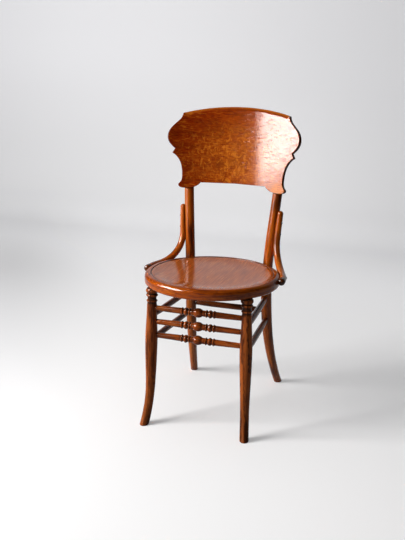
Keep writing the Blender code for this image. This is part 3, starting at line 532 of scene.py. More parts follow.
def front_leg_at(c, height, side):
    f = c.front
    below = ring_under(c) - height
    kick = max(0.0, 1 - height / f.kick_height) ** f.kick_power
    across = f.reach * math.cos(f.angle) + f.lean * below + f.spread * kick
    ahead = f.reach * math.sin(f.angle) + f.lean * below + f.kick * kick
    return SEAT_MIDDLE + Vector((side * across, -ahead, height))


def front_leg_radius(c, height):
    f = c.front
    turned = ring_under(c) - c.seat.fit - turning_length(c)
    points = ((0.0, f.foot_radius), (f.ankle_height, f.foot_radius),
              (ring_under(c) - f.swell_drop, f.swell_radius), (turned, f.top_radius))
    return eased(points, height)


def back_place(c, across, behind, height):
    """Point of the back panel's own frame: across, behind its front line and up along its lean."""
    lean = Matrix.Rotation(-c.back.lean, 3, "X")
    foot = SEAT_MIDDLE + Vector((0, c.back.setback, c.seat.height + c.back.rise))
    return foot + lean @ Vector((across, behind, height))


def back_bend(c, across, behind, height):
    """Point of the flat panel, bent and set in its place."""
    around = across / c.back.curve_radius
    radius = c.back.curve_radius + behind
    return back_place(c, radius * math.sin(around), radius * math.cos(around) - c.back.curve_radius, height)


def stile_seat_normal(c, side):
    around = side * c.back.stile_arc / c.back.curve_radius
    return back_place(c, math.sin(around), math.cos(around), 0) - back_place(c, 0, 0, 0)


def stile_behind_panel(c, height, side):
    b, r = c.back, c.rear
    around = b.stile_arc / b.curve_radius
    radius = b.curve_radius + b.thickness + c.seat.fit + r.stile_radius - r.flat
    aside = r.splay * (height - r.top_height / 2)
    across = radius * math.sin(around) + aside * math.cos(around)
    behind = radius * math.cos(around) - b.curve_radius - aside * math.sin(around)
    return back_place(c, side * across, behind, height)


def rear_leg_at(c, height, side):
    s, r = c.seat, c.rear
    low = stile_behind_panel(c, c.back.lobe[1], side)
    high = stile_behind_panel(c, r.top_height, side)
    slope = (high - low) / (high.z - low.z)
    reach = s.radius + r.seat_radius - r.saddle
    seat = SEAT_MIDDLE + outward(r.seat_angle, side) * reach + Z_AXIS * (s.height - s.depth / 2)
    foot = SEAT_MIDDLE + Vector((side * r.foot_side, r.foot_back, 0))
    foot_slope = Vector((side * r.foot_side_slope, r.foot_back_slope, 1))
    seat_slope = Vector((side * r.seat_slope, r.seat_slope, 1))
    if height > low.z:
        return low + slope * (height - low.z)
    if height > seat.z:
        span = low.z - seat.z
        return hermite(seat, low, seat_slope, slope, (height - seat.z) / span, span)
    return hermite(foot, seat, foot_slope, seat_slope, height / seat.z, seat.z)


def rear_leg_radius(c, height):
    s, r = c.seat, c.rear
    points = ((0.0, r.foot_radius), (ring_under(c) - r.swell_drop, r.swell_radius),
              (s.height - s.depth / 2, r.seat_radius), (s.height + c.back.rise, r.stile_radius))
    return eased(points, height)


def outward(angle, side):
    """Level direction at an angle from straight out to one side."""
    return Vector((side * math.cos(angle), math.sin(angle), 0))


def brace_stile_radius(c, rise):
    b = c.brace
    return b.top_radius + (b.bend_radius - b.top_radius) * (b.rise - rise) / (b.rise - b.leave_rise)


def brace_on_stile(c, rise, side):
    height = c.seat.height + rise
    reach = rear_leg_radius(c, height) + brace_stile_radius(c, rise) - c.brace.stile_depth
    return rear_leg_at(c, height, side) + outward(c.brace.side_angle, side) * reach


def brace_on_ring(c, angle, side):
    b = c.brace
    reach = c.seat.radius + b.end_radius - b.ring_depth
    return SEAT_MIDDLE + outward(angle, side) * reach + Z_AXIS * (c.seat.height - b.drop)


def keep_off_ring(c, points):
    """Hollow a rod out to the ring's outer face."""
    wall = c.seat.radius + c.seat.fit
    flat = points[..., :2] - np.array(SEAT_MIDDLE[:2])
    reach = np.linalg.norm(flat, axis=-1, keepdims=True)
    inside = (reach < wall) & (reach > wall / 2)
    pushed = flat * (wall / np.maximum(reach, NOT_ZERO)) + np.array(SEAT_MIDDLE[:2])
    points[..., :2] = np.where(inside, pushed, points[..., :2])


def keep_off_stile(c, points, side):
    """Hollow a brace out to the stile that it lies on."""
    for point in points.reshape(-1, 3):
        axis = rear_leg_at(c, point[2], side)
        wall = rear_leg_radius(c, point[2]) + c.seat.fit
        offset = point[:2] - np.array(axis[:2])
        reach = np.linalg.norm(offset)
        if reach < wall:
            point[:2] = np.array(axis[:2]) + offset * (wall / reach)


# Oak and steel

VALUE_RESULTS = {"LENGTH", "DISTANCE", "DOT_PRODUCT"}
PATCH_RAGGED = 0.5
BUMP_DEPTH = 0.00035
STEEL_BUMP_DEPTH = 0.0002


def put(tree, kind, inputs=None, **settings):
    """Node with its settings made and its inputs set or linked."""
    node = tree.nodes.new(kind)
    for key, value in settings.items():
        setattr(node, key, value)
    for key, value in (inputs or {}).items():
        socket = node.inputs[key]
        if isinstance(value, bpy.types.NodeSocket):
            tree.links.new(value, socket)
        else:
            socket.default_value = value
    return node


def maths(tree, operation, first, second=0.0, clamp=False):
    node = put(tree, "ShaderNodeMath", {0: first, 1: second}, operation=operation, use_clamp=clamp)
    return node.outputs[0]


def product(tree, first, *others):
    """Values multiplied together."""
    for other in others:
        first = maths(tree, "MULTIPLY", first, other)
    return first


def total(tree, first, *others):
    """Values added together."""
    for other in others:
        first = maths(tree, "ADD", first, other)
    return first


def vectors(tree, operation, first, second=(0.0, 0.0, 0.0)):
    node = put(tree, "ShaderNodeVectorMath", {0: first, 1: second}, operation=operation)
    return node.outputs["Value" if operation in VALUE_RESULTS else "Vector"]


def stretched(tree, vector, *scale):
    return vectors(tree, "MULTIPLY", vector, scale)


def scaled(tree, vector, level):
    return put(tree, "ShaderNodeVectorMath", {0: vector, "Scale": level}, operation="SCALE").outputs[0]


def between(tree, value, low, high, first=0.0, last=1.0):
    """Value eased from first to last as it goes from low to high."""
    node = put(tree, "ShaderNodeMapRange", {"Value": value, "From Min": low, "From Max": high,
                                            "To Min": first, "To Max": last}, interpolation_type="SMOOTHSTEP")
    return node.outputs["Result"]


def blended(tree, share, first, second):
    """Two colours mixed by a share."""
    node = put(tree, "ShaderNodeMix", {0: share}, data_type="RGBA")
    for index, value in ((6, first), (7, second)):
        if isinstance(value, bpy.types.NodeSocket):
            tree.links.new(value, node.inputs[index])
        else:
            node.inputs[index].default_value = (*value[:3], 1.0)
    return node.outputs[2]


def noise(tree, vector, scale, detail=2.0, roughness=0.5, distortion=0.0):
    node = put(tree, "ShaderNodeTexNoise", {"Vector": vector, "Scale": scale, "Detail": detail,
                                            "Roughness": roughness, "Distortion": distortion})
    return node.outputs[0]


def raise_surface(tree, shader, height, strength, depth):
    """Fine relief of a surface."""
    bump = put(tree, "ShaderNodeBump", {"Height": height, "Strength": strength, "Distance": depth})
    tree.links.new(bump.outputs["Normal"], shader.inputs["Normal"])


def new_material(name, roughness, specular):
    material = bpy.data.materials.new(name)
    material.use_nodes = True
    tree = material.node_tree
    shader = tree.nodes["Principled BSDF"]
    shader.inputs["Roughness"].default_value = roughness
    shader.inputs["Specular IOR Level"].default_value = specular
    return material, tree, shader


def growth_rings(tree, stick, pith, spacing, tilt):
    """Dark early wood of the yearly rings about a pith beside the stick: 1 in the dark bands."""
    wander = noise(tree, stretched(tree, stick, 1, 1, 0.16), scale=26.0, detail=3.0, roughness=0.55)
    ripple = noise(tree, stretched(tree, stick, 1, 1, 0.55), scale=110.0)
    across, deep, along = put(tree, "ShaderNodeSeparateXYZ", {0: stick}).outputs
    across = total(tree, across, pith[0])
    deep = total(tree, deep, pith[1])
    reach = maths(tree, "SQRT", total(tree, product(tree, across, across), product(tree, deep, deep)))
    reach = total(tree, reach, product(tree, along, tilt), product(tree, wander, spacing * 3.0),
                  product(tree, ripple, spacing * 0.9))
    year = maths(tree, "FRACT", maths(tree, "DIVIDE", reach, spacing))
    rise = between(tree, year, 0.0, 0.16)
    fall = between(tree, year, 0.18, 0.55)
    return maths(tree, "SUBTRACT", rise, fall, clamp=True)


def patch(tree, stick, broad, middle, reach):
    """Distance from the middle of an oval patch as a share of its reach, with a ragged edge."""
    offset = vectors(tree, "DIVIDE", vectors(tree, "SUBTRACT", stick, middle), reach)
    return total(tree, vectors(tree, "LENGTH", offset), product(tree, broad, PATCH_RAGGED))


def ray_flecks(tree, stick, body, light, share, size, sway):
    """Pale, swaying flecks where the wood's rays are cut, thicker in some places than in others."""
    aside = noise(tree, stick, scale=34.0)
    swayed = put(tree, "ShaderNodeCombineXYZ", {"X": product(tree, aside, sway)}).outputs[0]
    swayed = vectors(tree, "ADD", stick, swayed)
    ray = noise(tree, stretched(tree, swayed, *size), scale=190.0, detail=2.5, roughness=0.55, distortion=0.9)
    cluster = noise(tree, stretched(tree, stick, 1, 1, 0.6), scale=22.0)
    fleck = product(tree, between(tree, ray, 0.53, 0.66), between(tree, cluster, 0.36, 0.58, 0.25, 1.0))
    return blended(tree, product(tree, fleck, share), body, light)


def curled_figure(tree, stick, broad, body, dark, light, oval):
    """Curled figure in an oval patch: golden clouds, and loops with pale crests and dark hollows."""
    middle, reach, share = oval
    inside = between(tree, patch(tree, stick, broad, middle, reach), 1.35, 0.55)
    cloud = noise(tree, stretched(tree, stick, 1.0, 0.3, 1.0), scale=46.0, distortion=0.8)
    figure = noise(tree, stretched(tree, stick, 0.8, 0.3, 1.2), scale=62.0, detail=1.0, distortion=1.8)
    loops = maths(tree, "PINGPONG", product(tree, figure, 1.6), 0.5)
    for gate, strength, tone in ((between(tree, cloud, 0.42, 0.64), 0.4, light),
                                 (between(tree, loops, 0.28, 0.48), 1.0, light),
                                 (between(tree, loops, 0.16, 0.0), 0.5, dark)):
        body = blended(tree, product(tree, gate, inside, share * strength), body, tone)
    return body


def oak(name, tones, dirt_and_shade, roughness, specular, pith=(0.05, 0.02), spacing=0.0042, tilt=0.02, rings=0.75,
        flecks=0.0, fleck_size=(1.0, 1.0, 0.5), sway=0.022, figured=None, faded_and_glow=(), stretch=0.03,
        streaks=0.62, pores=0.7, dashes=0.0, pits=0.0, relief=0.2):
    """Stained and varnished oak along the bent stick: streaks, rings, pores, flecks, figure, wear, and dirt
    and painted shade where the wear value is below zero.
    """
    dark, mid, light = tones
    material, tree, shader = new_material(name, roughness, specular)
    stick = put(tree, "ShaderNodeAttribute", attribute_name="stick").outputs["Vector"]
    worn_and_shaded = put(tree, "ShaderNodeAttribute", attribute_name="worn_and_shaded").outputs["Fac"]
    streak = noise(tree, stretched(tree, stick, 1, 1, stretch), scale=380.0, detail=4.0, roughness=0.62)
    broad = noise(tree, stretched(tree, stick, 1, 1, 0.22), scale=30.0)
    pore = noise(tree, stretched(tree, stick, 1, 1, 0.045), scale=1500.0, detail=1.0, roughness=0.4)
    dash = noise(tree, stretched(tree, stick, 1, 1, 0.15), scale=320.0, roughness=0.55)
    dash = between(tree, dash, 0.56, 0.66)
    early = growth_rings(tree, stick, pith, spacing, tilt)
    pore = maths(tree, "MULTIPLY", between(tree, pore, 0.52, 0.64), total(tree, early, 0.35), clamp=True)

    tone = total(tree, product(tree, between(tree, streak, 0.30, 0.70), streaks),
                 product(tree, between(tree, broad, 0.30, 0.70), 1.0 - streaks))
    body = blended(tree, between(tree, tone, 0.12, 0.55), dark, mid)
    body = blended(tree, between(tree, tone, 0.55, 1.05, 0.0, 0.75), body, light)
    body = blended(tree, product(tree, early, rings), body, dark)
    # Paler patches of the back: faded wood, and a painted glow beside the mirrored window.
    for middle, reach, share in faded_and_glow:
        away = patch(tree, stick, broad, middle, reach)
        body = blended(tree, between(tree, away, 1.35, 0.45, 0.0, share), body, light)
    if flecks:
        body = ray_flecks(tree, stick, body, light, flecks, fleck_size, sway)
    if figured:
        body = curled_figure(tree, stick, broad, body, dark, light, figured)
    body = blended(tree, product(tree, pore, pores), body, dark)
    body = blended(tree, product(tree, dash, dashes), body, dark)
    # A wear value above zero lightens with wear; below zero it mixes in the dark colour, which is dirt and
    # painted shade.
    rubbed_and_shaded = total(tree, worn_and_shaded, product(tree, maths(tree, "SUBTRACT", broad, 0.5), 0.5))
    body = blended(tree, between(tree, rubbed_and_shaded, 0.05, 0.9, 0.0, 0.65), body, light)
    body = blended(tree, between(tree, rubbed_and_shaded, -0.05, -0.9, 0.0, 0.85), body, dirt_and_shade)
    tree.links.new(body, shader.inputs["Base Color"])

    smear = noise(tree, stick, scale=14.0, detail=3.0, roughness=0.6)
    matt = between(tree, smear, 0.35, 0.70, roughness * 0.85, roughness * 1.25)
    matt = maths(tree, "ADD", matt, product(tree, pore, relief), clamp=True)
    matt = maths(tree, "ADD", matt, product(tree, dash, dashes * 0.2), clamp=True)
    tree.links.new(matt, shader.inputs["Roughness"])
    height = maths(tree, "SUBTRACT", product(tree, streak, 0.35 * relief), product(tree, pore, relief))
    height = maths(tree, "SUBTRACT", height, product(tree, dash, pits))
    raise_surface(tree, shader, height, 1.0, BUMP_DEPTH)
    return material


def old_steel(name, steel, rust):
    """Dulled and slightly browned steel."""
    material, tree, shader = new_material(name, roughness=0.40, specular=0.5)
    shader.inputs["Metallic"].default_value = 1.0
    where = put(tree, "ShaderNodeTexCoord").outputs["Object"]
    stain_and_painted_shade = between(tree, noise(tree, where, scale=420.0, detail=5.0, roughness=0.65), 0.46, 0.66)
    grain = noise(tree, where, scale=2600.0)
    tree.links.new(blended(tree, stain_and_painted_shade, steel, rust), shader.inputs["Base Color"])
    tree.links.new(between(tree, stain_and_painted_shade, 0.0, 1.0, 0.34, 0.66), shader.inputs["Roughness"])
    raise_surface(tree, shader, total(tree, product(tree, grain, 0.4), stain_and_painted_shade), 0.25, STEEL_BUMP_DEPTH)
    return material


# Oak finishes: whose tones they take and how they differ from plain oak. Patches are middle, reach and share.
FLAT_LOG = dict(spacing=0.006, pith=(0.0, 0.40))
LEG_LOG = dict(roughness=0.26, specular=0.055, spacing=0.015, tilt=0.05, streaks=0.35, relief=0.14)
BACK_FIGURE = ((0.085, 0.0, -0.01), (0.130, 1.0, 0.20), 0.72)
# Paler golden middle of the back: faded wood, and a painted glow beside the mirrored window.
BACK_FADED_AND_GLOW = ((0.105, 0.0, 0.06), (0.17, 1.0, 0.22), 0.30)
LOBE_FADED = ((0.0, 0.0, 0.155), (0.035, 1.0, 0.050), 0.80)
OAK_FINISHES = {
    "oak_back": ("back", dict(FLAT_LOG, roughness=0.115, specular=0.105, rings=0.10, flecks=0.12,
                              fleck_size=(1.0, 0.3, 0.45), figured=BACK_FIGURE,
                              faded_and_glow=(BACK_FADED_AND_GLOW, LOBE_FADED), dashes=0.55, pits=0.30, stretch=0.13,
                              relief=0.015)),
    "oak_seat": ("seat", dict(FLAT_LOG, roughness=0.15, specular=0.135, rings=0.0, flecks=0.85,
                              fleck_size=(1.0, 0.3, 0.06), sway=0.005, streaks=0.85, pores=0.2, relief=0.03)),
    "oak_ring": ("ring", dict(roughness=0.14, specular=0.15, rings=0.35, pith=(0.05, 0.06), spacing=0.011,
                              streaks=0.5, dashes=0.95, pits=0.10, relief=0.06)),
    "oak_bent": ("bent", dict(roughness=0.15, specular=0.14, rings=0.18, spacing=0.014, streaks=0.35,
                              relief=0.10)),
    "oak_leg_left": ("leg", dict(LEG_LOG, rings=0.40, pith=(0.026, 0.014))),
    "oak_leg_right": ("leg", dict(LEG_LOG, rings=0.80, pith=(0.037, 0.014))),
    "oak_rungs": ("rung", dict(roughness=0.15, specular=0.085, rings=0.6, spacing=0.010, streaks=0.45,
                               relief=0.14)),
}


def finish(c, name):
    """Finish of a slot or piece, made once and then shared."""
    label = "finish_" + name
    ready = bpy.data.materials.get(label)
    if ready:
        return ready
    if name not in OAK_FINISHES:
        return old_steel(label, c.tones.steel, c.tones.rust)
    wood, settings = OAK_FINISHES[name]
    tones = [getattr(c.tones, wood + depth) for depth in ("_dark", "_mid", "_light")]
    return oak(label, tones, c.tones.dirt_and_shade, **settings)


# Seat

RING_EASE = 0.0012
RING_SEGMENTS = 288
RING_STICK_START = 7.0
UNDERSIDE_MARGIN = 0.004
RUBBED_BAND = 0.0065
RING_RUBBED = 0.25
# Darker on the ring's underside.
RING_UNDER_DARKENING = -0.25
# Painted shade on the ring's lip, in the groove round the panel.
LIP_PAINTED_SHADE = -0.6
LIP_PAINTED_SHADE_SHARE = 0.8
DISC_SEGMENTS = 192
DISC_STICK_START = 1.0
DISC_HEART = 0.004
DISC_STEPS = 40
DISC_STEP_POWER = 1.6
RIM_BEAD = (0.0004, 0.0030, 0.0052, 0.0068)
# Painted shade on the panel's rounded rim, in the groove round it.
RIM_PAINTED_SHADE = -0.6
DISC_UNDER_DIRT = -0.2
HAIR = 0.0002


def make_seat_ring(c):
    """Bent ring with rounded edges, a rebate for the panel and a small lip over it."""
    s = c.seat
    inner, under = s.radius - s.width, ring_under(c)
    rebate, ledge = inner + s.rebate_width, s.height - s.rebate_depth
    profile = [(inner + RING_EASE, under), (s.radius - s.under_round - UNDERSIDE_MARGIN, under)]
    profile += arc(s.radius - s.under_round, under + s.under_round, s.under_round, -1, 0, 8)
    profile += arc(s.radius - s.top_round, s.height - s.top_round, s.top_round, 0, 1, 14)
    profile += [((s.radius - s.top_round + rebate + s.lip_round) / 2, s.height)]
    profile += arc(rebate + s.lip_round, s.height - s.lip_round, s.lip_round, 1, 2, 6)
    profile += [(rebate, ledge), (inner + RING_EASE, ledge), (inner, ledge - RING_EASE),
                (inner, under + RING_EASE)]
    profile.reverse()

    # Darker underside, painted shade on the lip in the groove round the panel, and a rubbed outer top edge.
    def wear_and_shade(radius, height):
        if height < under + RING_EASE + 2 * HAIR:
            return RING_UNDER_DARKENING
        if rebate - HAIR < radius < rebate + s.lip_round * LIP_PAINTED_SHADE_SHARE:
            return LIP_PAINTED_SHADE
        if radius > s.radius - RUBBED_BAND and height > s.height - RUBBED_BAND:
            return RING_RUBBED
        return 0.0

    points = np.zeros((RING_SEGMENTS, len(profile), 3))
    sticks = np.zeros((RING_SEGMENTS + 1, len(profile) + 1, 3))
    for row in range(RING_SEGMENTS + 1):
        around = math.tau * row / RING_SEGMENTS - math.pi / 2
        for column, (radius, height) in enumerate(profile + profile[:1]):
            sticks[row, column] = (radius - inner, height - under, s.radius * (around + RING_STICK_START))
            if row < RING_SEGMENTS and column < len(profile):
                points[row, column] = (SEAT_MIDDLE.x - radius * math.sin(around),
                                       SEAT_MIDDLE.y + radius * math.cos(around), height)
    worn_and_shaded = np.tile([wear_and_shade(*point) for point in profile], (RING_SEGMENTS, 1))
    finish_piece("seat_hoop", skin(points, sticks, worn_and_shaded, ring=True), finish(c, "oak_ring"), "seat_ring")


def make_seat_panel(c):
    """Pressed disc with a flat rim, a fine bead round the dish and grain from front to back."""
    s = c.seat
    inner = s.radius - s.width
    edge = inner + s.rebate_width - s.fit
    rim = edge - s.rim_width
    under = s.height - s.rebate_depth + s.fit
    top = under + s.panel_thickness
    shares = [max(1 - (1 - step / DISC_STEPS) ** DISC_STEP_POWER, DISC_HEART)
              for step in range(DISC_STEPS + 1)]

    def dished(radius):
        return -s.dish * (1 - min(radius / rim, 1.0) ** s.dish_power)

    hollow = [(share * (inner - s.fit), under + dished(share * rim)) for share in shares]
    profile = hollow + [(edge - s.panel_edge * 0.5, under), (edge, under + s.panel_edge * 0.5)]
    profile += arc(edge - s.panel_edge, top - s.panel_edge, s.panel_edge, 0, 1, 5)
    profile += [(edge - s.panel_edge - reach, top) for reach in RIM_BEAD]
    profile += [(rim * share, top + dished(rim * share)) for share in reversed(shares[1:])]
    profile += [(rim * DISC_HEART, top + dished(0.0))]
    points = np.zeros((len(profile), DISC_SEGMENTS, 3))
    sticks = np.zeros((len(profile), DISC_SEGMENTS + 1, 3))
    worn_and_shaded = np.zeros(len(profile))
    for row, (radius, height) in enumerate(profile):
        for column in range(DISC_SEGMENTS + 1):
            around = math.tau * column / DISC_SEGMENTS
            across, back = radius * math.cos(around), radius * math.sin(around)
            sticks[row, column] = (across, height - under, back + DISC_STICK_START)
            if column < DISC_SEGMENTS:
                points[row, column] = (SEAT_MIDDLE.x + across, SEAT_MIDDLE.y + back, height)
        # Painted shade on the rim, in the groove round the panel.
        if radius > edge - s.panel_edge - HAIR / 2:
            worn_and_shaded[row] = RIM_PAINTED_SHADE
        elif row < len(hollow):
            worn_and_shaded[row] = DISC_UNDER_DIRT
    finish_piece("seat_disc", skin(points, sticks, worn_and_shaded), finish(c, "oak_seat"), "seat_panel")


# Legs

LEG_SIDES = 56
LEG_STICK_STARTS = {"front": (0.012, 0.0, 1.7, 0.55), "rear": (0.02, 0.01, 4.4, 1.2)}
FRONT_LEG_STEPS = 110
REAR_LEG_STEPS = 190
FOOT_EASE = ((0.0, 0.0012), (0.0005, 0.0005), (0.0014, 0.0001))
FOOT_TOP = 0.003
FLOOR_CUT = 0.03
TURNING_RUBBED = 0.2
# Painted shade on the turned top, under the ring.
TURNED_PAINTED_SHADE = 0.42
TOP_ROWS = 3
# Painted shade where the leg's top meets the ring.
TOP_PAINTED_SHADE = -0.8
# Front legs darker towards the foot.
FRONT_FOOT_DARKENING = 0.46
FRONT_FOOT_DARKENING_HEIGHTS = (0.24, 0.04)
# Painted shade on the rear legs below the seat, stronger on the left and weaker at the foot.
REAR_PAINTED_SHADE = {"left": 0.50, "right": 0.12}
REAR_PAINTED_SHADE_ABOVE = 0.03
REAR_PAINTED_SHADE_BELOW = 0.01
REAR_FOOT_SHADE = 0.3
REAR_FOOT_HEIGHTS = (0.06, 0.26)
LEDGE_CLEAR = 0.002
LEDGE_STEP = 0.0006
# Painted shade on the face planed flat against the back panel.
PLANED_PAINTED_SHADE = -0.6


def leg_shape(stations, kind, side):
    """Sections of a leg that stands level on the floor, and their places in the stick that it is made of."""
    across, deep, start, apart = LEG_STICK_STARTS[kind]
    return tube(stations, LEG_SIDES, (across * side, deep, start + side * apart), floor_cut=FLOOR_CUT)


def leg_stations(middle, radius, heights):
    """Stations of a leg from the floor up, with the edge at the floor eased."""
    stations = [(middle(height), radius(height) - less) for height, less in FOOT_EASE]
    return stations + [(middle(height), radius(height)) for height in heights]


def make_front_leg(c, side_name):
    """Leg with a turned top, a swell at the rungs and a kicked foot."""
    side, f = SIDES[side_name], c.front
    shoulder = ring_under(c) - c.seat.fit

    def middle(height):
        return front_leg_at(c, height, side)

    turning = [(0.0, f.cup_top)]
    add_beads(turning, ((f.cup_length, f.cup, f.cup_foot, 18),
                        (f.upper_bead_length, f.upper_bead, f.cove, 14),
                        (f.cove_length, f.cove, f.cove, 8),
                        (f.lower_bead_length, f.lower_bead, f.neck, 12),
                        (f.neck_length, f.neck, f.top_radius, 10)))
    turned_from = shoulder - turning[-1][0]
    stations = leg_stations(middle, lambda height: front_leg_radius(c, height),
                            spread(FOOT_TOP, turned_from, FRONT_LEG_STEPS)[:-1])
    stations += [(middle(shoulder - drop), radius) for drop, radius in reversed(turning)]
    points, sticks = leg_shape(stations, "front", side)
    worn_and_shaded = wear_and_shade_along(stations, TURNING_RUBBED)
    # Painted shade on the turned top under the ring, darker towards the foot, and painted shade where the top
    # meets the ring.
    worn_and_shaded -= TURNED_PAINTED_SHADE * np.array([at.z > middle(turned_from).z for at, _ in stations])
    worn_and_shaded -= FRONT_FOOT_DARKENING * np.array([ramp(at.z, *FRONT_FOOT_DARKENING_HEIGHTS) for at, _ in stations])
    worn_and_shaded[-TOP_ROWS:] = TOP_PAINTED_SHADE
    finish_piece("leg_front_" + side_name, skin(points, sticks, worn_and_shaded), finish(c, "oak_leg_" + side_name),
                 "front_leg_" + side_name)


def make_rear_leg(c, side_name):
    """Bent leg, and the stile of the back above it, hollowed for the ring and planed for the panel."""
    side, r, b = SIDES[side_name], c.rear, c.back
    under = ring_under(c)
    top = stile_behind_panel(c, r.top_height, side)
    ledge = stile_behind_panel(c, b.lobe[1], side).z

    def middle(height):
        return rear_leg_at(c, height, side)

    heights = [height for height in spread(FOOT_TOP, top.z, REAR_LEG_STEPS)
               if abs(height - ledge) > LEDGE_CLEAR]
    heights = sorted(heights + [ledge - LEDGE_STEP, ledge + LEDGE_STEP])
    stations = leg_stations(middle, lambda height: rear_leg_radius(c, height), heights)
    run = (stations[-1][0] - stations[-2][0]).normalized()
    stations += round_end(top, run, r.stile_radius, r.top_dome)
    points, sticks = leg_shape(stations, "rear", side)
    keep_off_ring(c, points)
    out = np.array(stile_seat_normal(c, side))
    face = np.array(back_bend(c, side * b.stile_arc, b.thickness + c.seat.fit, 0))
    worn_and_shaded = np.zeros(points.shape[:2])
    for row, (at, _) in enumerate(stations):
        # Painted shade below the seat, weaker at the foot.
        stain_and_painted_shade = REAR_PAINTED_SHADE[side_name] * ramp(at.z, under + REAR_PAINTED_SHADE_ABOVE, under - REAR_PAINTED_SHADE_BELOW)
        worn_and_shaded[row] = -stain_and_painted_shade * (REAR_FOOT_SHADE + (1 - REAR_FOOT_SHADE) * ramp(at.z, *REAR_FOOT_HEIGHTS))
        # Above the ledge the stile is planed flat for the panel, with painted shade on the planed face.
        if at.z > ledge:
            depth = np.minimum((points[row] - face) @ out, 0.0)
            points[row] -= depth[:, None] * out
            worn_and_shaded[row] = np.where(depth < 0, PLANED_PAINTED_SHADE, 0.0)
    finish_piece("leg_rear_" + side_name, skin(points, sticks, worn_and_shaded), finish(c, "oak_bent"),
                 "rear_leg_" + side_name)


# Rungs

RUNG_SIDES = 48
RUNG_RUBBED = 0.45
# Painted shade where a rung goes into the leg.
RUNG_END_PAINTED_SHADE = 0.6
RUNG_END_PAINTED_SHADE_REACH = 0.006
FRONT_RUNG_STICK = (0.013, 0.007, 0.6)
REAR_RUNG_STICK = (0.02, 0.0, 7.0)
# Painted shade on the rear rung, under the seat.
REAR_RUNG_PAINTED_SHADE = 0.62


def front_rung_profile(c, half):
    """Half of a front rung, from the ball in its middle to its end: (place, radius) points."""
    g = c.rungs
    neck = g.ball_neck + g.ball_flare
    points = []
    for at in spread(0, g.ball_half_length, 24):
        radius = g.ball * math.sqrt(max(1 - (at / g.ball_reach) ** 2, 0.0))
        points.append((at, max(radius, neck)))
    groove = (g.groove_length, g.groove, g.groove, 3)
    add_beads(points, ((g.ball_neck_length, neck, g.groove, 6), (g.disc_length, g.disc, g.groove, 12),
                       groove, (g.barrel_length, g.barrel, g.groove, 16), groove,
                       (g.disc_length, g.disc, g.front, 12)))
    start, first = points[-1]
    shoulder = half - g.socket
    points += [(start + (shoulder - start) * share, first + (g.end - first) * share)
               for share in spread(0, 1, 20)[1:]]
    points.append((half, g.end))
    return points


def plain_rung_profile(c, half):
    """Half of a plain rung, from its middle to its end: (place, radius) points."""
    g = c.rungs
    shoulder = half - g.socket
    points = [(shoulder * share, g.end + (g.plain - g.end) * (1 - share ** 3)) for share in spread(0, 1, 30)]
    points.append((half, g.end))
    return points


def make_rung(c, node, profile_of, first, second, start, stain_and_painted_shade=0.0):
    """Rung turned from a half profile, between two legs, each given as a middle and a radius."""
    run = (second[0] - first[0]).normalized()
    near = first[0] + run * (first[1] - c.rungs.socket + c.seat.fit)
    far = second[0] - run * (second[1] - c.rungs.socket + c.seat.fit)
    half, middle = (far - near).length / 2, (near + far) / 2
    profile = profile_of(c, half)
    stations = [(middle - run * at, radius) for at, radius in reversed(profile[1:])]
    stations += [(middle + run * at, radius) for at, radius in profile]
    up = (Z_AXIS - run * Z_AXIS.dot(run)).normalized()
    points, sticks = tube(stations, RUNG_SIDES, (start[0], start[1], start[2] - half), guide=up.cross(run))
    offset = np.array([abs((at - middle).dot(run)) for at, _ in stations])
    # Rubbed crests, hollows darkened with dirt and painted shade, painted shade given for the whole rung, and
    # painted shade where it goes into the leg.
    worn_and_shaded = wear_and_shade_along(stations, RUNG_RUBBED) - stain_and_painted_shade
    at_leg = (offset - half + c.rungs.socket + RUNG_END_PAINTED_SHADE_REACH) / RUNG_END_PAINTED_SHADE_REACH
    worn_and_shaded -= np.clip(at_leg, 0.0, 1.0) * RUNG_END_PAINTED_SHADE
    finish_piece(node.replace("rung", "spindle"), skin(points, sticks, worn_and_shaded), finish(c, "oak_rungs"), node)


def make_front_rungs(c):
    across, deep, start = FRONT_RUNG_STICK
    for index, level in enumerate(("top", "middle", "bottom")):
        height = ring_under(c) - c.rungs.front_drop - c.rungs.front_step * index
        left, right = ((front_leg_at(c, height, side), front_leg_radius(c, height)) for side in (-1, 1))
        make_rung(c, "front_rung_" + level, front_rung_profile, left, right,
                  (across * index, deep, start * index))


def make_plain_rungs(c):
    for side_name, side in SIDES.items():
        for level, drop in (("upper", c.rungs.upper_drop), ("lower", c.rungs.lower_drop)):
            height = ring_under(c) - drop
            front = (front_leg_at(c, height, side), front_leg_radius(c, height))
            rear = (rear_leg_at(c, height, side), rear_leg_radius(c, height))
            make_rung(c, "side_rung_" + side_name + "_" + level, plain_rung_profile, front, rear,
                      (0.011 * side, drop, 3.0 + side + 8 * drop))
    height = ring_under(c) - c.rungs.rear_drop
    left, right = ((rear_leg_at(c, height, side), rear_leg_radius(c, height)) for side in (-1, 1))
    # The rear rung takes painted shade all along it.
    make_rung(c, "rear_rung", plain_rung_profile, left, right, REAR_RUNG_STICK, REAR_RUNG_PAINTED_SHADE)


# Back

CROWN_STEPS = 70
LOWER_EDGE_STEPS = 45
MOULDING_END = 0.005
FRONT_EDGE_ROWS = (0.06, 0.14, 0.3, 0.5, 0.75, 0.93, 1.0)
FRONT_GRID = 0.006
REAR_EDGE_ROWS = (0.15, 0.45, 1.0)
REAR_GRID = 0.008
EDGE_ROW_CLEAR = 0.93
GRID_OFF_ROUNDING = 1.05
GRID_OFF_EDGE = 0.45
CRISP_WITHIN = 0.06
BLUNT_WITHIN = 0.12
BLUNT_TURN = 0.6
# Moulding lighter: wear, and painted light where it catches the light.
MOULDING_WEAR_AND_LIGHT = 0.75
REAR_EDGE_RUBBED = 0.1
# Darker on the panel's edge faces.
OUTLINE_DARKENING = -0.8
MERGE_WITHIN = 1e-7
TINY = 1e-12


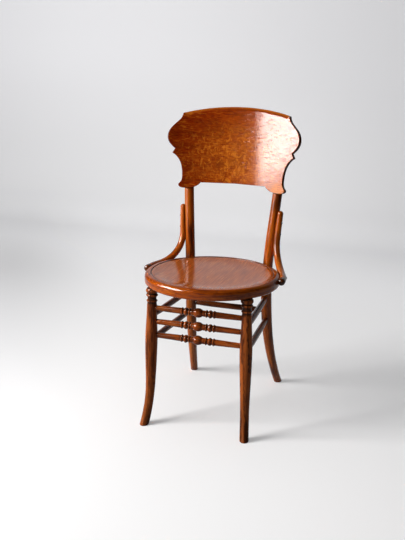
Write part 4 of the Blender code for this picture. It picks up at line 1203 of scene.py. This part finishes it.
def sweep(points, end, first_degrees, last_degrees, steps, pull=0.37):
    """Extend an outline by a curve that leaves and arrives in the given directions."""
    start, end = Vector(points[-1]), Vector(end)
    reach = (end - start).length * pull
    leave, arrive = (Vector((math.cos(math.radians(degrees)), math.sin(math.radians(degrees)))) * reach
                     for degrees in (first_degrees, last_degrees))
    curve = interpolate_bezier(start, start + leave, end - arrive, end, steps + 1)
    points.extend(tuple(point)[:2] for point in curve[1:])


def back_outline(c):
    """Outline of the flat panel, down its right side and up its left, and which points lie along the top."""
    b = c.back
    rise = b.crown - b.top[1]
    radius = (b.top[0] ** 2 + rise ** 2) / (2 * rise)
    right = [(across, b.top[1] + math.sqrt(radius ** 2 - across ** 2) - radius + rise)
             for across in spread(0, b.top[0], CROWN_STEPS)]
    on_top = len(right)
    sweep(right, b.shoulder, -78, -46, 14)
    sweep(right, b.ear, -46, -90, 34)
    sweep(right, b.notch, -90, -143, 28)
    sweep(right, b.lip, -68, -62, 9)
    sweep(right, b.lip_root, -72, -148, 12)
    sweep(right, b.waist, -143, -90, 42)
    sweep(right, b.curl, -90, -42, 16)
    sweep(right, b.lobe, -55, -176, 18, 0.48)
    sweep(right, b.corner, -180, -234, 36)
    right += [(across, b.middle + (b.corner[1] - b.middle) * (across / b.corner[0]))
              for across in spread(b.corner[0], 0, LOWER_EDGE_STEPS)[1:]]
    top = [index < on_top for index in range(len(right))]
    left = [(-across, height) for across, height in reversed(right[1:-1])]
    return np.array(right + left), np.array(top + list(reversed(top[1:-1])))


def outline_inward(outline):
    """Direction into the panel at each point of its outline."""
    along = np.roll(outline, -1, axis=0) - np.roll(outline, 1, axis=0)
    along /= np.linalg.norm(along, axis=1, keepdims=True)
    return np.stack((along[:, 1], -along[:, 0]), axis=1)


def nearest_on_outline(places, outline):
    """Nearest outline point to each place, and how far away it is."""
    gaps = np.linalg.norm(places[:, None] - outline[None], axis=2)
    return gaps.argmin(axis=1), gaps.min(axis=1)


def inside_outline(places, outline):
    """True for each place inside the outline: a line to its right crosses it an odd number of times."""
    start, end = outline[None], np.roll(outline, -1, axis=0)[None]
    crossing = (start[..., 1] > places[:, None, 1]) != (end[..., 1] > places[:, None, 1])
    rise = np.where(np.abs(end[..., 1] - start[..., 1]) < TINY, TINY, end[..., 1] - start[..., 1])
    reach = start[..., 0] + (places[:, None, 1] - start[..., 1]) * (end[..., 0] - start[..., 0]) / rise
    return (crossing & (places[:, None, 0] < reach)).sum(axis=1) % 2 == 1


def panel_sheet(outline, rounding, edge_rows, grid):
    """Triangles of one face of the panel, closer along its edge: places and faces, outline points first."""
    count = len(outline)
    inward = outline_inward(outline)
    extra = []
    for share in edge_rows:
        shifted = outline + inward * (rounding * share)[:, None]
        _, gaps = nearest_on_outline(shifted, outline)
        extra.append(shifted[gaps > rounding * share * EDGE_ROW_CLEAR])
    low, high = outline.min(axis=0), outline.max(axis=0)
    across, up = np.meshgrid(np.arange(low[0], high[0], grid), np.arange(low[1], high[1], grid))
    lattice = np.stack((across.ravel(), up.ravel()), axis=1)
    nearest, gaps = nearest_on_outline(lattice, outline)
    clear = gaps > rounding[nearest] * GRID_OFF_ROUNDING + grid * GRID_OFF_EDGE
    lattice = lattice[inside_outline(lattice, outline) & clear]
    everything = [Vector(point) for point in np.concatenate([outline] + extra + [lattice])]
    rim = [(index, (index + 1) % count) for index in range(count)]
    places, _, faces, origins, _, _ = delaunay_2d_cdt(everything, rim, [], 1, MERGE_WITHIN)
    order = {source: index for index, origin in enumerate(origins) for source in origin}
    moved = {order[index]: index for index in range(count)}
    for index in range(len(places)):
        moved.setdefault(index, len(moved))
    settled = np.zeros((len(places), 2))
    for index, where in moved.items():
        settled[where] = places[index]
    return settled, [tuple(moved[index] for index in face) for face in faces]


def rounded_depth(places, outline, rounding, sink, moulded):
    """Depth of each place under the face, where the edge is rounded, or moulded to a slope with a crisp line.

    Also how far in from the edge it is, its nearest outline point, and the lean of the face there.
    """
    nearest, gaps = nearest_on_outline(places, outline)
    share = np.clip(gaps / rounding[nearest], 0.0, 1.0)
    share[:len(outline)] = 0.0
    flank = np.sqrt(np.maximum(1 - (1 - share) ** 2, 0.0))
    slope = sink[nearest] / rounding[nearest]
    tilt = np.arctan2(slope * (1 - share), flank)
    crisp = np.arctan(slope) * np.clip((1.0 - share) / CRISP_WITHIN, 0.0, 1.0)
    blunt = np.clip(1 - share / BLUNT_WITHIN, 0.0, 1.0)
    crisp = crisp + (math.pi / 2 - crisp) * blunt * BLUNT_TURN
    cut = moulded[nearest]
    depth = sink[nearest] * (1 - flank + (flank - share) * cut)
    return depth, share, nearest, tilt + (crisp - tilt) * cut


def anticlockwise(places, face):
    """Face with its corners in anticlockwise order on the flat."""
    first, second, third = (places[index] for index in face[:3])
    if (second[0] - first[0]) * (third[1] - first[1]) > (second[1] - first[1]) * (third[0] - first[0]):
        return face
    return tuple(reversed(face))


def make_back_panel(c):
    """Shaped panel with a moulded top edge, rounded edges and a grain that runs across, bent to its curve."""
    b = c.back
    outline, top = back_outline(c)
    count = len(outline)
    fade = np.array([ramp(b.top[0] - abs(across), 0.0, MOULDING_END) if on_top else 0.0
                     for (across, _), on_top in zip(outline, top)])
    rounding = b.edge_round + (b.top_round - b.edge_round) * fade
    sink = b.edge_round + (b.top_sink - b.edge_round) * fade
    even = np.full(count, b.rear_round)
    front, front_faces = panel_sheet(outline, rounding, FRONT_EDGE_ROWS, FRONT_GRID)
    rear, rear_faces = panel_sheet(outline, even, REAR_EDGE_ROWS, REAR_GRID)
    depth, share, nearest, tilt = rounded_depth(front, outline, rounding, sink, fade)
    plain = np.zeros(count)
    rear_depth, rear_share, rear_nearest, rear_tilt = rounded_depth(rear, outline, even, even, plain)
    flat = [(across, behind, height) for (across, height), behind in zip(front, depth)]
    flat += [(across, b.thickness - lift, height) for (across, height), lift in zip(rear, rear_depth)]
    # The moulding is lighter with wear and painted light; the edge faces are darker.
    worn_and_shaded = [MOULDING_WEAR_AND_LIGHT * along if value else OUTLINE_DARKENING
            for value, along in zip(share, fade[nearest] * (1 - share))]
    worn_and_shaded += [REAR_EDGE_RUBBED * (1 - value) if value else OUTLINE_DARKENING for value in rear_share]

    shift = len(front)
    faces = [anticlockwise(front, face) for face in front_faces]
    for face in rear_faces:
        faces.append(tuple(index + shift for index in reversed(anticlockwise(rear, face))))
    for index in range(count):
        after = (index + 1) % count
        faces.append((index, after, shift + after, shift + index))
    sticks = [(height, behind + b.cut, across) for across, behind, height in flat]
    corners = [sticks[index] for face in faces for index in face]
    verts = [back_bend(c, *point) for point in flat]

    inward = outline_inward(outline)
    leans = [(inward[near], lean, -1.0) for near, lean in zip(nearest, tilt)]
    leans += [(inward[near], lean, 1.0) for near, lean in zip(rear_nearest, rear_tilt)]
    lean_back = Matrix.Rotation(-b.lean, 3, "X")
    normals = []
    for point, (into, lean, facing) in zip(flat, leans):
        bent = Matrix.Rotation(-point[0] / b.curve_radius, 3, "Z")
        aside = -math.sin(lean) * into
        normals.append(lean_back @ bent @ Vector((aside[0], facing * math.cos(lean), aside[1])))
    finish_piece("back_rest", (verts, faces, corners, worn_and_shaded), finish(c, "oak_back"), "back_panel",
                 normals=normals)


# Braces

BRACE_SIDES = 48
BRACE_STEPS = 18
BRACE_BEND_STEPS = 60
BRACE_STICK = (0.03, 0.02, 9.0)
# Darker top end.
BRACE_TOP_ROWS = 9
BRACE_TOP_DARKENING = -0.15
# Darker lower end: end grain, and painted shade on its end.
BRACE_END_ROWS = 14
BRACE_END_GRAIN_AND_SHADE = -0.85


def make_brace(c, side_name):
    """Bent rod from the side of the stile, down and forward to the side of the ring."""
    side, b = SIDES[side_name], c.brace
    stations = [(brace_on_stile(c, rise, side), brace_stile_radius(c, rise))
                for rise in spread(b.rise, b.leave_rise, BRACE_STEPS)]
    up = (brace_on_stile(c, b.rise, side) - brace_on_stile(c, b.leave_rise, side)).normalized()
    leave, land = stations[-1][0], brace_on_ring(c, b.land_angle, side)
    along_ring = Vector((side * math.sin(b.land_angle), -math.cos(b.land_angle), 0))
    bend = interpolate_bezier(leave, leave - up * b.leave_pull, land - along_ring * b.land_pull, land,
                              BRACE_BEND_STEPS + 1)
    for step, middle in enumerate(bend[1:], 1):
        stations.append((middle, b.bend_radius + (b.end_radius - b.bend_radius) * step / BRACE_BEND_STEPS))
    stations += [(brace_on_ring(c, angle, side), b.end_radius)
                 for angle in spread(b.land_angle, b.end_angle, BRACE_STEPS)[1:]]
    end_run = (stations[-1][0] - stations[-2][0]).normalized()
    stations = list(reversed(round_end(stations[0][0], up, b.top_radius, b.dome))) + stations
    stations += round_end(stations[-1][0], end_run, b.end_radius, b.dome)
    across, deep, start = BRACE_STICK
    points, sticks = tube(stations, BRACE_SIDES, (across * side, deep, start + side))
    keep_off_ring(c, points)
    keep_off_stile(c, points, side)
    # Darker top end; the lower end is darker with end grain and painted shade.
    worn_and_shaded = np.zeros(len(stations))
    worn_and_shaded[:BRACE_TOP_ROWS] = BRACE_TOP_DARKENING
    worn_and_shaded[-BRACE_END_ROWS:] = BRACE_END_GRAIN_AND_SHADE
    finish_piece("bracket_" + side_name, skin(points, sticks, worn_and_shaded), finish(c, "oak_bent"),
                 "brace_" + side_name)


# Fasteners

HEAD_FLAT_DEGREES = 2.0
HEAD_STEPS = 26
HEAD_SIDES = 72
POINT_SHARE = 0.08
BOLT_POINT = 0.0006
WASHER_EASE = 0.0003
WASHER_ROWS = 64
NUT_SIDES = 6
NUT_ROWS = 48
NUT_CHAMFER = 0.10
NUT_CHAMFER_SLOPE = 0.6
METAL_SMOOTH_BELOW = 30.0


def seat_sink(radius, spot):
    """Depth below a round surface at which a flat seat clears a fastener's head."""
    return radius - math.sqrt(radius * radius - spot * spot)


def finish_metal(c, name, node, points, ring=False):
    """Steel piece over a grid of points, which needs no grain."""
    rows, columns, _ = points.shape
    shape = skin(points[::-1], np.zeros((rows + 1, columns + 1, 3)), np.zeros(rows), ring)
    finish_piece(name, shape, finish(c, "dark_steel"), node, sharp=METAL_SMOOTH_BELOW)


def turned_about(out, around):
    """Direction square to out, at an angle round it."""
    across = out.orthogonal().normalized()
    return across * math.cos(around) + out.cross(across) * math.sin(around)


def make_headed(c, name, node, seat, out, reach, kind):
    """Screw or bolt with a slotted round head, turned along out from its seat."""
    m = c.metal
    head, head_height, shank, point = kind
    profile = [(head * math.sin(around), head_height * math.cos(around))
               for around in spread(math.radians(HEAD_FLAT_DEGREES), math.pi / 2, HEAD_STEPS)]
    profile += [(shank, 0.0), (shank, point - reach), (shank * POINT_SHARE, -reach)]
    lift = seat + out * c.seat.fit
    points = np.zeros((len(profile), HEAD_SIDES, 3))
    for column in range(HEAD_SIDES):
        around = math.tau * column / HEAD_SIDES
        beside = turned_about(out, around)
        for row, (radius, height) in enumerate(profile):
            if height > HAIR and abs(radius * math.sin(around)) < m.slot_width / 2:
                height = min(height, head_height - m.slot_depth)
            points[row, column] = lift + beside * radius + out * height
    finish_metal(c, name, node, points)


def make_screws(c):
    """Screws of the back panel, of the braces' upper ends and of their lower ends on the ring."""
    m = c.metal
    spot = m.screw_head + m.margin
    kind = (m.screw_head, m.screw_head_height, m.screw, m.screw_point)

    def screw(node, middle, out, radius, bite):
        sunk = radius - seat_sink(radius, spot)
        make_headed(c, node.replace("screw", "woodscrew"), node, middle + out * sunk, out, sunk + bite, kind)

    for side_name, side in SIDES.items():
        out, radius = stile_seat_normal(c, side), c.rear.stile_radius
        for level, height in (("lower", m.panel_lower), ("upper", m.panel_upper)):
            screw("panel_screw_" + side_name + "_" + level, stile_behind_panel(c, height, side), out, radius,
                  radius - c.rear.flat + m.panel_bite)
        out = outward(c.brace.side_angle, side)
        for level, rise in (("upper", m.brace_upper), ("lower", m.brace_lower)):
            radius = brace_stile_radius(c, rise)
            screw("brace_screw_" + side_name + "_" + level, brace_on_stile(c, rise, side), out, radius,
                  radius - c.brace.stile_depth + m.brace_bite)
        out, radius = outward(m.ring_angle, side), c.brace.end_radius
        screw("ring_screw_" + side_name, brace_on_ring(c, m.ring_angle, side), out, radius,
              radius - c.brace.ring_depth + m.ring_bite)


def make_bolts(c):
    """Bolt through each stile and the ring, with a washer and a nut inside the ring."""
    m, s = c.metal, c.seat
    height = ring_under(c) + m.bolt_edge + m.margin + m.washer
    level = SEAT_MIDDLE + Z_AXIS * height
    radius = rear_leg_radius(c, height)
    washer_reach = s.radius - s.width + m.spot_depth - s.fit - m.washer_thickness
    nut_reach = washer_reach - s.fit - m.nut_thickness
    chamfer = m.nut * NUT_CHAMFER
    kind = (m.bolt_head, m.bolt_head_height, m.bolt, BOLT_POINT)
    for side_name, side in SIDES.items():
        out = outward(c.rear.seat_angle, side)
        reach = (rear_leg_at(c, height, side) - SEAT_MIDDLE).dot(out) + radius
        reach -= seat_sink(radius, m.bolt_head + m.margin)
        make_headed(c, "coach_bolt_" + side_name, "stile_bolt_" + side_name, level + out * reach, out,
                    reach - nut_reach + m.bolt_tail, kind)
        make_collar(c, "flat_washer_" + side_name, "stile_washer_" + side_name, level + out * washer_reach,
                    out, m.washer, m.washer_thickness, (WASHER_EASE, WASHER_EASE), WASHER_ROWS)
        make_collar(c, "hex_nut_" + side_name, "stile_nut_" + side_name, level + out * nut_reach, out,
                    m.nut, m.nut_thickness, (chamfer, chamfer * NUT_CHAMFER_SLOPE), NUT_ROWS, NUT_SIDES)


def make_collar(c, name, node, at, out, radius, thickness, ease, rows, sides=0):
    """Washer, or nut with flat sides, with its outer edges eased inward and along out."""
    bore = c.metal.bolt + c.seat.fit
    loop = [(bore, 0), (radius - ease[0], 0), (radius, ease[1]), (radius, thickness - ease[1]),
            (radius - ease[0], thickness), (bore, thickness)]
    points = np.zeros((rows, len(loop), 3))
    for row in range(rows):
        around = math.tau * row / rows
        flattened = 1.0
        if sides:
            flattened = math.cos(math.pi / sides) / math.cos(around % (math.tau / sides) - math.pi / sides)
        beside = turned_about(out, around)
        for column, (reach, height) in enumerate(loop):
            wide = reach * flattened if reach > bore else reach
            points[row, column] = at + beside * wide + out * height
    finish_metal(c, name, node, points, ring=True)


# Studio

DAYLIGHT = (1.0, 0.985, 0.965)
WHITE = (1.0, 1.0, 1.0, 1.0)
BLACK = (0.0, 0.0, 0.0)
SHEET_HALF = 20.0
SHEET_BACKS = (-7.0, -4.0, -2.0, -1.0, 0.0, 1.0)
SHEET_HEIGHTS = (3.0, 6.0)
SHEET_BEND_STEPS = 24
WINDOW_TARGET = Vector((0.0, 0.1, 0.0))
GLOW_ACROSS = spread(-1.0, 1.5, 50)
GLOW_HEIGHTS = spread(0.5, 2.4, 38)
GLOW_SLANT_FROM = 1.1
GLOW_FAR_EDGE = (-0.9, -0.7)
GLOW_TOP_EDGE = (2.3, 2.1)
GLOW_SILL = (0.99, 1.20)
GLOW_BELOW_SILL = 0.10
SKY_MIDDLE = (-0.50, -0.28, 0.82)
CURTAIN_RADIUS = 4.5
CURTAIN_DEGREES = 128.0
CURTAIN_STEPS = 60
CURTAIN_HEIGHTS = (0.02, 4.0)
CURTAIN_TONES = ((0.008, 0.008, 0.008), (0.020, 0.019, 0.018))
FILM_WIDTH = 36.0


def stage_piece(name, verts, faces, material):
    """Object over a new mesh of one material."""
    mesh = bpy.data.meshes.new(name)
    mesh.from_pydata(verts, [], faces)
    mesh.materials.append(material)
    return bpy.data.objects.new(name, mesh)


def window_aim(c):
    """Level direction from the window to the chair."""
    aim = WINDOW_TARGET - Vector(c.studio.window)
    aim.z = 0.0
    return aim.normalized()


def seen_share(tree):
    """1 for what the camera sees, mirrored or not, and 0 for the light that is thrown on other things."""
    path = put(tree, "ShaderNodeLightPath").outputs
    seen = maths(tree, "MAXIMUM", path["Is Camera Ray"], path["Is Glossy Ray"])
    return maths(tree, "MAXIMUM", seen, path["Is Transmission Ray"])


def floor_tone(tree, c, aside, behind):
    """Colour of the floor, with painted light and shade: darker behind on the window's side and far back on
    the other side, paler at the front away from the window and far back.
    """
    t = c.tones
    aslant = total(tree, aside, product(tree, behind, 0.51))
    beside = product(tree, between(tree, aslant, -0.20, -0.95), between(tree, aslant, -3.6, -2.0))
    back = product(tree, between(tree, behind, -0.6, 0.3), between(tree, behind, 2.0, 1.1, 0.4, 1.0),
                   between(tree, behind, 3.0, 2.3))
    right = product(tree, between(tree, aside, -0.7, 0.75), between(tree, behind, 1.2, 2.5))
    shade = blended(tree, between(tree, aside, -0.3, 0.5), t.floor, t.floor_near_painted_light)
    shade = blended(tree, between(tree, behind, 0.3, 2.2), shade, t.floor_far_painted_light)
    shade = blended(tree, product(tree, beside, back), shade, t.floor_left_painted_shade)
    return blended(tree, right, shade, t.floor_right_painted_shade)


def sheet_tone(tree, c, where):
    """Colour of the sheet, with painted shade in a band low in the bend and where the window is so near that
    it would glare, and its height.
    """
    st, t = c.studio, c.tones
    aside, behind, high = put(tree, "ShaderNodeSeparateXYZ", {0: where}).outputs
    # Painted shade: the wall is darker away from the window.
    wall = blended(tree, between(tree, aside, -3.2, 1.0), t.wall, t.wall_far_painted_shade)
    shade = blended(tree, between(tree, high, 0.0, 1.3), floor_tone(tree, c, aside, behind), wall)
    # Painted shade: a dark band low in the bend between floor and wall.
    bend = product(tree, between(tree, high, 0.0, 0.14), between(tree, high, 1.2, 0.3, 0.0, 0.08))
    below = (st.window[0], st.window[1], 0.0)
    away = vectors(tree, "DISTANCE", where, below)
    ahead = vectors(tree, "DOT_PRODUCT", vectors(tree, "SUBTRACT", where, below), window_aim(c))
    # Painted shade near the window's foot, which holds back the pool of its light.
    window_foot_shade = product(tree, between(tree, away, 1.95, 0.9, 0.0, 0.60), between(tree, ahead, 0.15, 0.75))
    shade = blended(tree, bend, shade, BLACK)
    return blended(tree, window_foot_shade, shade, BLACK), high


def studio_paper(c):
    """Matt paper that is paler as it is seen than in the light that it throws on the chair."""
    st = c.studio
    material, tree, shader = new_material("studio_paper", roughness=1.0, specular=0.0)
    where = put(tree, "ShaderNodeNewGeometry").outputs["Position"]
    shade, high = sheet_tone(tree, c, where)
    seen = seen_share(tree)
    thrown = scaled(tree, shade, between(tree, high, 0.0, 0.5, st.floor_thrown, st.wall_thrown))
    full = scaled(tree, shade, st.fullness)
    tree.links.new(blended(tree, seen, thrown, full), shader.inputs["Base Color"])
    glow = put(tree, "ShaderNodeEmission", {"Color": shade, "Strength": product(tree, seen, st.lift)})
    lifted = put(tree, "ShaderNodeAddShader", {0: shader.outputs[0], 1: glow.outputs[0]})
    tree.links.new(lifted.outputs[0], tree.nodes["Material Output"].inputs["Surface"])
    return material


def make_backdrop(c):
    """One pale sheet: floor, bend and wall."""
    st = c.studio
    bend_from = st.wall_back - st.bend
    profile = [(back, 0.0) for back in SHEET_BACKS]
    profile += [(bend_from + st.bend * math.sin(around), st.bend * (1 - math.cos(around)))
                for around in spread(0, math.pi / 2, SHEET_BEND_STEPS)]
    profile += [(st.wall_back, height) for height in SHEET_HEIGHTS]
    verts = [(across, back, height) for back, height in profile for across in (-SHEET_HALF, SHEET_HALF)]
    faces = [(2 * row, 2 * row + 1, 2 * row + 3, 2 * row + 2) for row in range(len(profile) - 1)]
    sheet = stage_piece("studio_sheet", verts, faces, studio_paper(c))
    sheet.data.shade_smooth()
    bpy.context.scene.collection.objects.link(sheet)


def add_window(c):
    """Large upright soft light at the front left, which lights but isn't mirrored."""
    st = c.studio
    lamp = bpy.data.lights.new("window_light", "AREA")
    lamp.shape = "RECTANGLE"
    lamp.size = st.window_width
    lamp.size_y = st.window_height
    lamp.energy = st.window_power
    lamp.color = DAYLIGHT
    light = bpy.data.objects.new("window_light", lamp)
    light.location = st.window
    light.rotation_mode = "QUATERNION"
    light.rotation_quaternion = window_aim(c).to_track_quat("-Z", "Y")
    light.visible_camera = False
    light.visible_glossy = False
    bpy.context.scene.collection.objects.link(light)


def only_mirrored(obj):
    """Stage piece that shows in the varnish and nowhere else."""
    for ray in ("camera", "diffuse", "transmission", "volume_scatter", "shadow"):
        setattr(obj, "visible_" + ray, False)
    bpy.context.scene.collection.objects.link(obj)


def window_glow(c):
    """Bare light, as strong as each point of the mirrored window says."""
    material = bpy.data.materials.new("window_glow")
    material.use_nodes = True
    tree = material.node_tree
    share = put(tree, "ShaderNodeAttribute", attribute_name="glow").outputs["Fac"]
    shine = put(tree, "ShaderNodeEmission", {"Color": (*DAYLIGHT, 1.0),
                                             "Strength": product(tree, share, c.studio.glint)})
    tree.links.new(shine.outputs[0], tree.nodes["Material Output"].inputs["Surface"])
    return material


def make_window_sheet(c):
    """Bright window as the varnish mirrors it: soft edges, and dimmer low down."""
    st = c.studio
    middle = Vector((st.window[0], st.window[1], 0.0))
    side = window_aim(c).cross(Z_AXIS)
    verts, faces, glow = [], [], []
    for row, height in enumerate(GLOW_HEIGHTS):
        edge = st.window_edge + st.window_slant * (height - GLOW_SLANT_FROM)
        upright = GLOW_BELOW_SILL + (1 - GLOW_BELOW_SILL) * ramp(height, *GLOW_SILL)
        upright *= ramp(height, *GLOW_TOP_EDGE)
        for column, across in enumerate(GLOW_ACROSS):
            last = len(verts)
            verts.append(middle + side * across + Z_AXIS * height)
            near = ramp(across, edge + st.window_soft, edge - st.window_soft)
            glow.append(near * ramp(across, *GLOW_FAR_EDGE) * upright)
            if row and column:
                below = last - len(GLOW_ACROSS)
                faces.append((below - 1, below, last, last - 1))
    sheet = stage_piece("window_sheet", verts, faces, window_glow(c))
    sheet.data.attributes.new("glow", "FLOAT", "POINT").data.foreach_set("value", glow)
    only_mirrored(sheet)


def make_air(c):
    """Weak light all round, stronger from above on the window's side, on a pale and empty background."""
    st = c.studio
    world = bpy.data.worlds.new("studio_air")
    world.use_nodes = True
    tree = world.node_tree
    way = put(tree, "ShaderNodeTexCoord").outputs["Generated"]
    facing = vectors(tree, "DOT_PRODUCT", way, SKY_MIDDLE)
    level = between(tree, facing, 0.0, 0.95, st.sky_shade, st.sky_light)
    seen = seen_share(tree)
    unseen = maths(tree, "SUBTRACT", 1.0, seen)
    level = total(tree, product(tree, seen, st.pale), product(tree, unseen, level))
    background = tree.nodes["Background"]
    background.inputs["Color"].default_value = WHITE
    tree.links.new(level, background.inputs["Strength"])
    bpy.context.scene.world = world


def make_curtain():
    """Dark curtain round the front and over the top, for the varnish to mirror."""
    verts, faces = [], []
    turned = math.radians(CURTAIN_DEGREES)
    for step, around in enumerate(spread(-turned, turned, CURTAIN_STEPS)):
        verts += [(CURTAIN_RADIUS * math.sin(around), -CURTAIN_RADIUS * math.cos(around), height)
                  for height in CURTAIN_HEIGHTS]
        if step:
            faces.append((2 * step - 2, 2 * step, 2 * step + 1, 2 * step - 1))
    faces.append(tuple(range(1, len(verts), 2)))
    material, tree, shader = new_material("curtain_cloth", roughness=1.0, specular=0.0)
    where = put(tree, "ShaderNodeTexCoord").outputs["Object"]
    folds = noise(tree, stretched(tree, where, 1, 1, 0.05), scale=3.0)
    tree.links.new(blended(tree, folds, *CURTAIN_TONES), shader.inputs["Base Color"])
    only_mirrored(stage_piece("dark_curtain", verts, faces, material))


def make_lights(c):
    """Window at the front left, a weak light all round it, and a dark curtain for the varnish to mirror."""
    add_window(c)
    make_window_sheet(c)
    make_air(c)
    make_curtain()


def make_camera(c):
    """Camera where the photograph was taken from."""
    st = c.studio
    ahead = Vector((-math.sin(st.yaw) * math.cos(st.pitch), math.cos(st.yaw) * math.cos(st.pitch),
                    -math.sin(st.pitch)))
    right = Vector((math.cos(st.yaw), math.sin(st.yaw), 0))
    up = right.cross(ahead)
    level = right * math.cos(st.roll) + up * math.sin(st.roll)
    upright = up * math.cos(st.roll) - right * math.sin(st.roll)
    data = bpy.data.cameras.new("photo_camera")
    data.lens = st.lens
    data.sensor_width = FILM_WIDTH
    data.sensor_fit = "AUTO"
    camera = bpy.data.objects.new("photo_camera", data)
    turned = Matrix((level, upright, -ahead)).transposed().to_4x4()
    camera.matrix_world = Matrix.Translation(st.camera) @ turned
    bpy.context.scene.collection.objects.link(camera)
    bpy.context.scene.camera = camera
    bpy.context.scene.view_settings.view_transform = "Standard"


# Operators

class CHAIR_OT_seat_ring(Operator):
    """Make the bent seat ring with its rebate and lip"""
    bl_idname = "chair.seat_ring"
    bl_label = "Seat ring"

    def execute(self, context):
        make_seat_ring(context.scene.chair)
        return {"FINISHED"}


class CHAIR_OT_seat_panel(Operator):
    """Make the pressed and dished seat panel"""
    bl_idname = "chair.seat_panel"
    bl_label = "Seat panel"

    def execute(self, context):
        make_seat_panel(context.scene.chair)
        return {"FINISHED"}


class CHAIR_OT_front_legs(Operator):
    """Make the two front legs with their turned tops"""
    bl_idname = "chair.front_legs"
    bl_label = "Front legs"

    def execute(self, context):
        for side_name in SIDES:
            make_front_leg(context.scene.chair, side_name)
        return {"FINISHED"}


class CHAIR_OT_rear_legs(Operator):
    """Make the two bent rear legs"""
    bl_idname = "chair.rear_legs"
    bl_label = "Rear legs"

    def execute(self, context):
        for side_name in SIDES:
            make_rear_leg(context.scene.chair, side_name)
        return {"FINISHED"}


class CHAIR_OT_front_rungs(Operator):
    """Make the three turned front rungs"""
    bl_idname = "chair.front_rungs"
    bl_label = "Front rungs"

    def execute(self, context):
        make_front_rungs(context.scene.chair)
        return {"FINISHED"}


class CHAIR_OT_plain_rungs(Operator):
    """Make the plain side and rear rungs"""
    bl_idname = "chair.plain_rungs"
    bl_label = "Side and rear rungs"

    def execute(self, context):
        make_plain_rungs(context.scene.chair)
        return {"FINISHED"}


class CHAIR_OT_back_panel(Operator):
    """Make the shaped and curved back panel"""
    bl_idname = "chair.back_panel"
    bl_label = "Back panel"

    def execute(self, context):
        make_back_panel(context.scene.chair)
        return {"FINISHED"}


class CHAIR_OT_braces(Operator):
    """Make the two bent braces"""
    bl_idname = "chair.braces"
    bl_label = "Braces"

    def execute(self, context):
        for side_name in SIDES:
            make_brace(context.scene.chair, side_name)
        return {"FINISHED"}


class CHAIR_OT_screws(Operator):
    """Make the slotted wood screws"""
    bl_idname = "chair.screws"
    bl_label = "Wood screws"

    def execute(self, context):
        make_screws(context.scene.chair)
        return {"FINISHED"}


class CHAIR_OT_bolts(Operator):
    """Make the bolts, washers and nuts of the stiles"""
    bl_idname = "chair.bolts"
    bl_label = "Bolts, washers and nuts"

    def execute(self, context):
        make_bolts(context.scene.chair)
        return {"FINISHED"}


class CHAIR_OT_studio(Operator):
    """Make the pale sheet, the lights and the camera"""
    bl_idname = "chair.studio"
    bl_label = "Studio"

    def execute(self, context):
        make_backdrop(context.scene.chair)
        make_lights(context.scene.chair)
        make_camera(context.scene.chair)
        return {"FINISHED"}


OPERATORS = (CHAIR_OT_seat_ring, CHAIR_OT_seat_panel, CHAIR_OT_front_legs, CHAIR_OT_rear_legs,
             CHAIR_OT_front_rungs, CHAIR_OT_plain_rungs, CHAIR_OT_back_panel, CHAIR_OT_braces,
             CHAIR_OT_screws, CHAIR_OT_bolts, CHAIR_OT_studio)


class CHAIR_PT_pieces(Panel):
    """List of the chair's pieces"""
    bl_idname = "CHAIR_PT_pieces"
    bl_label = "Bentwood chair"
    bl_space_type = "VIEW_3D"
    bl_region_type = "UI"
    bl_category = "Chair"

    def draw(self, context):
        for operator in OPERATORS:
            self.layout.operator(operator.bl_idname)


GROUPS = (SeatSizes, FrontLegSizes, RearLegSizes, BackSizes, RungSizes, BraceSizes, FastenerSizes,
          FinishColours, StudioSizes, ChairSettings)


def register():
    for kind in GROUPS + OPERATORS + (CHAIR_PT_pieces,):
        bpy.utils.register_class(kind)
    bpy.types.Scene.chair = PointerProperty(type=ChairSettings)


def unregister():
    del bpy.types.Scene.chair
    for kind in reversed(GROUPS + OPERATORS + (CHAIR_PT_pieces,)):
        bpy.utils.unregister_class(kind)


def main():
    register()
    for old in list(bpy.context.scene.collection.objects):
        if old.type in {"CAMERA", "LIGHT"}:
            bpy.data.objects.remove(old, do_unlink=True)
    bpy.ops.chair.seat_ring()
    bpy.ops.chair.seat_panel()
    bpy.ops.chair.front_legs()
    bpy.ops.chair.rear_legs()
    bpy.ops.chair.front_rungs()
    bpy.ops.chair.plain_rungs()
    bpy.ops.chair.back_panel()
    bpy.ops.chair.braces()
    bpy.ops.chair.screws()
    bpy.ops.chair.bolts()
    bpy.ops.chair.studio()


if __name__ == "__main__":
    main()
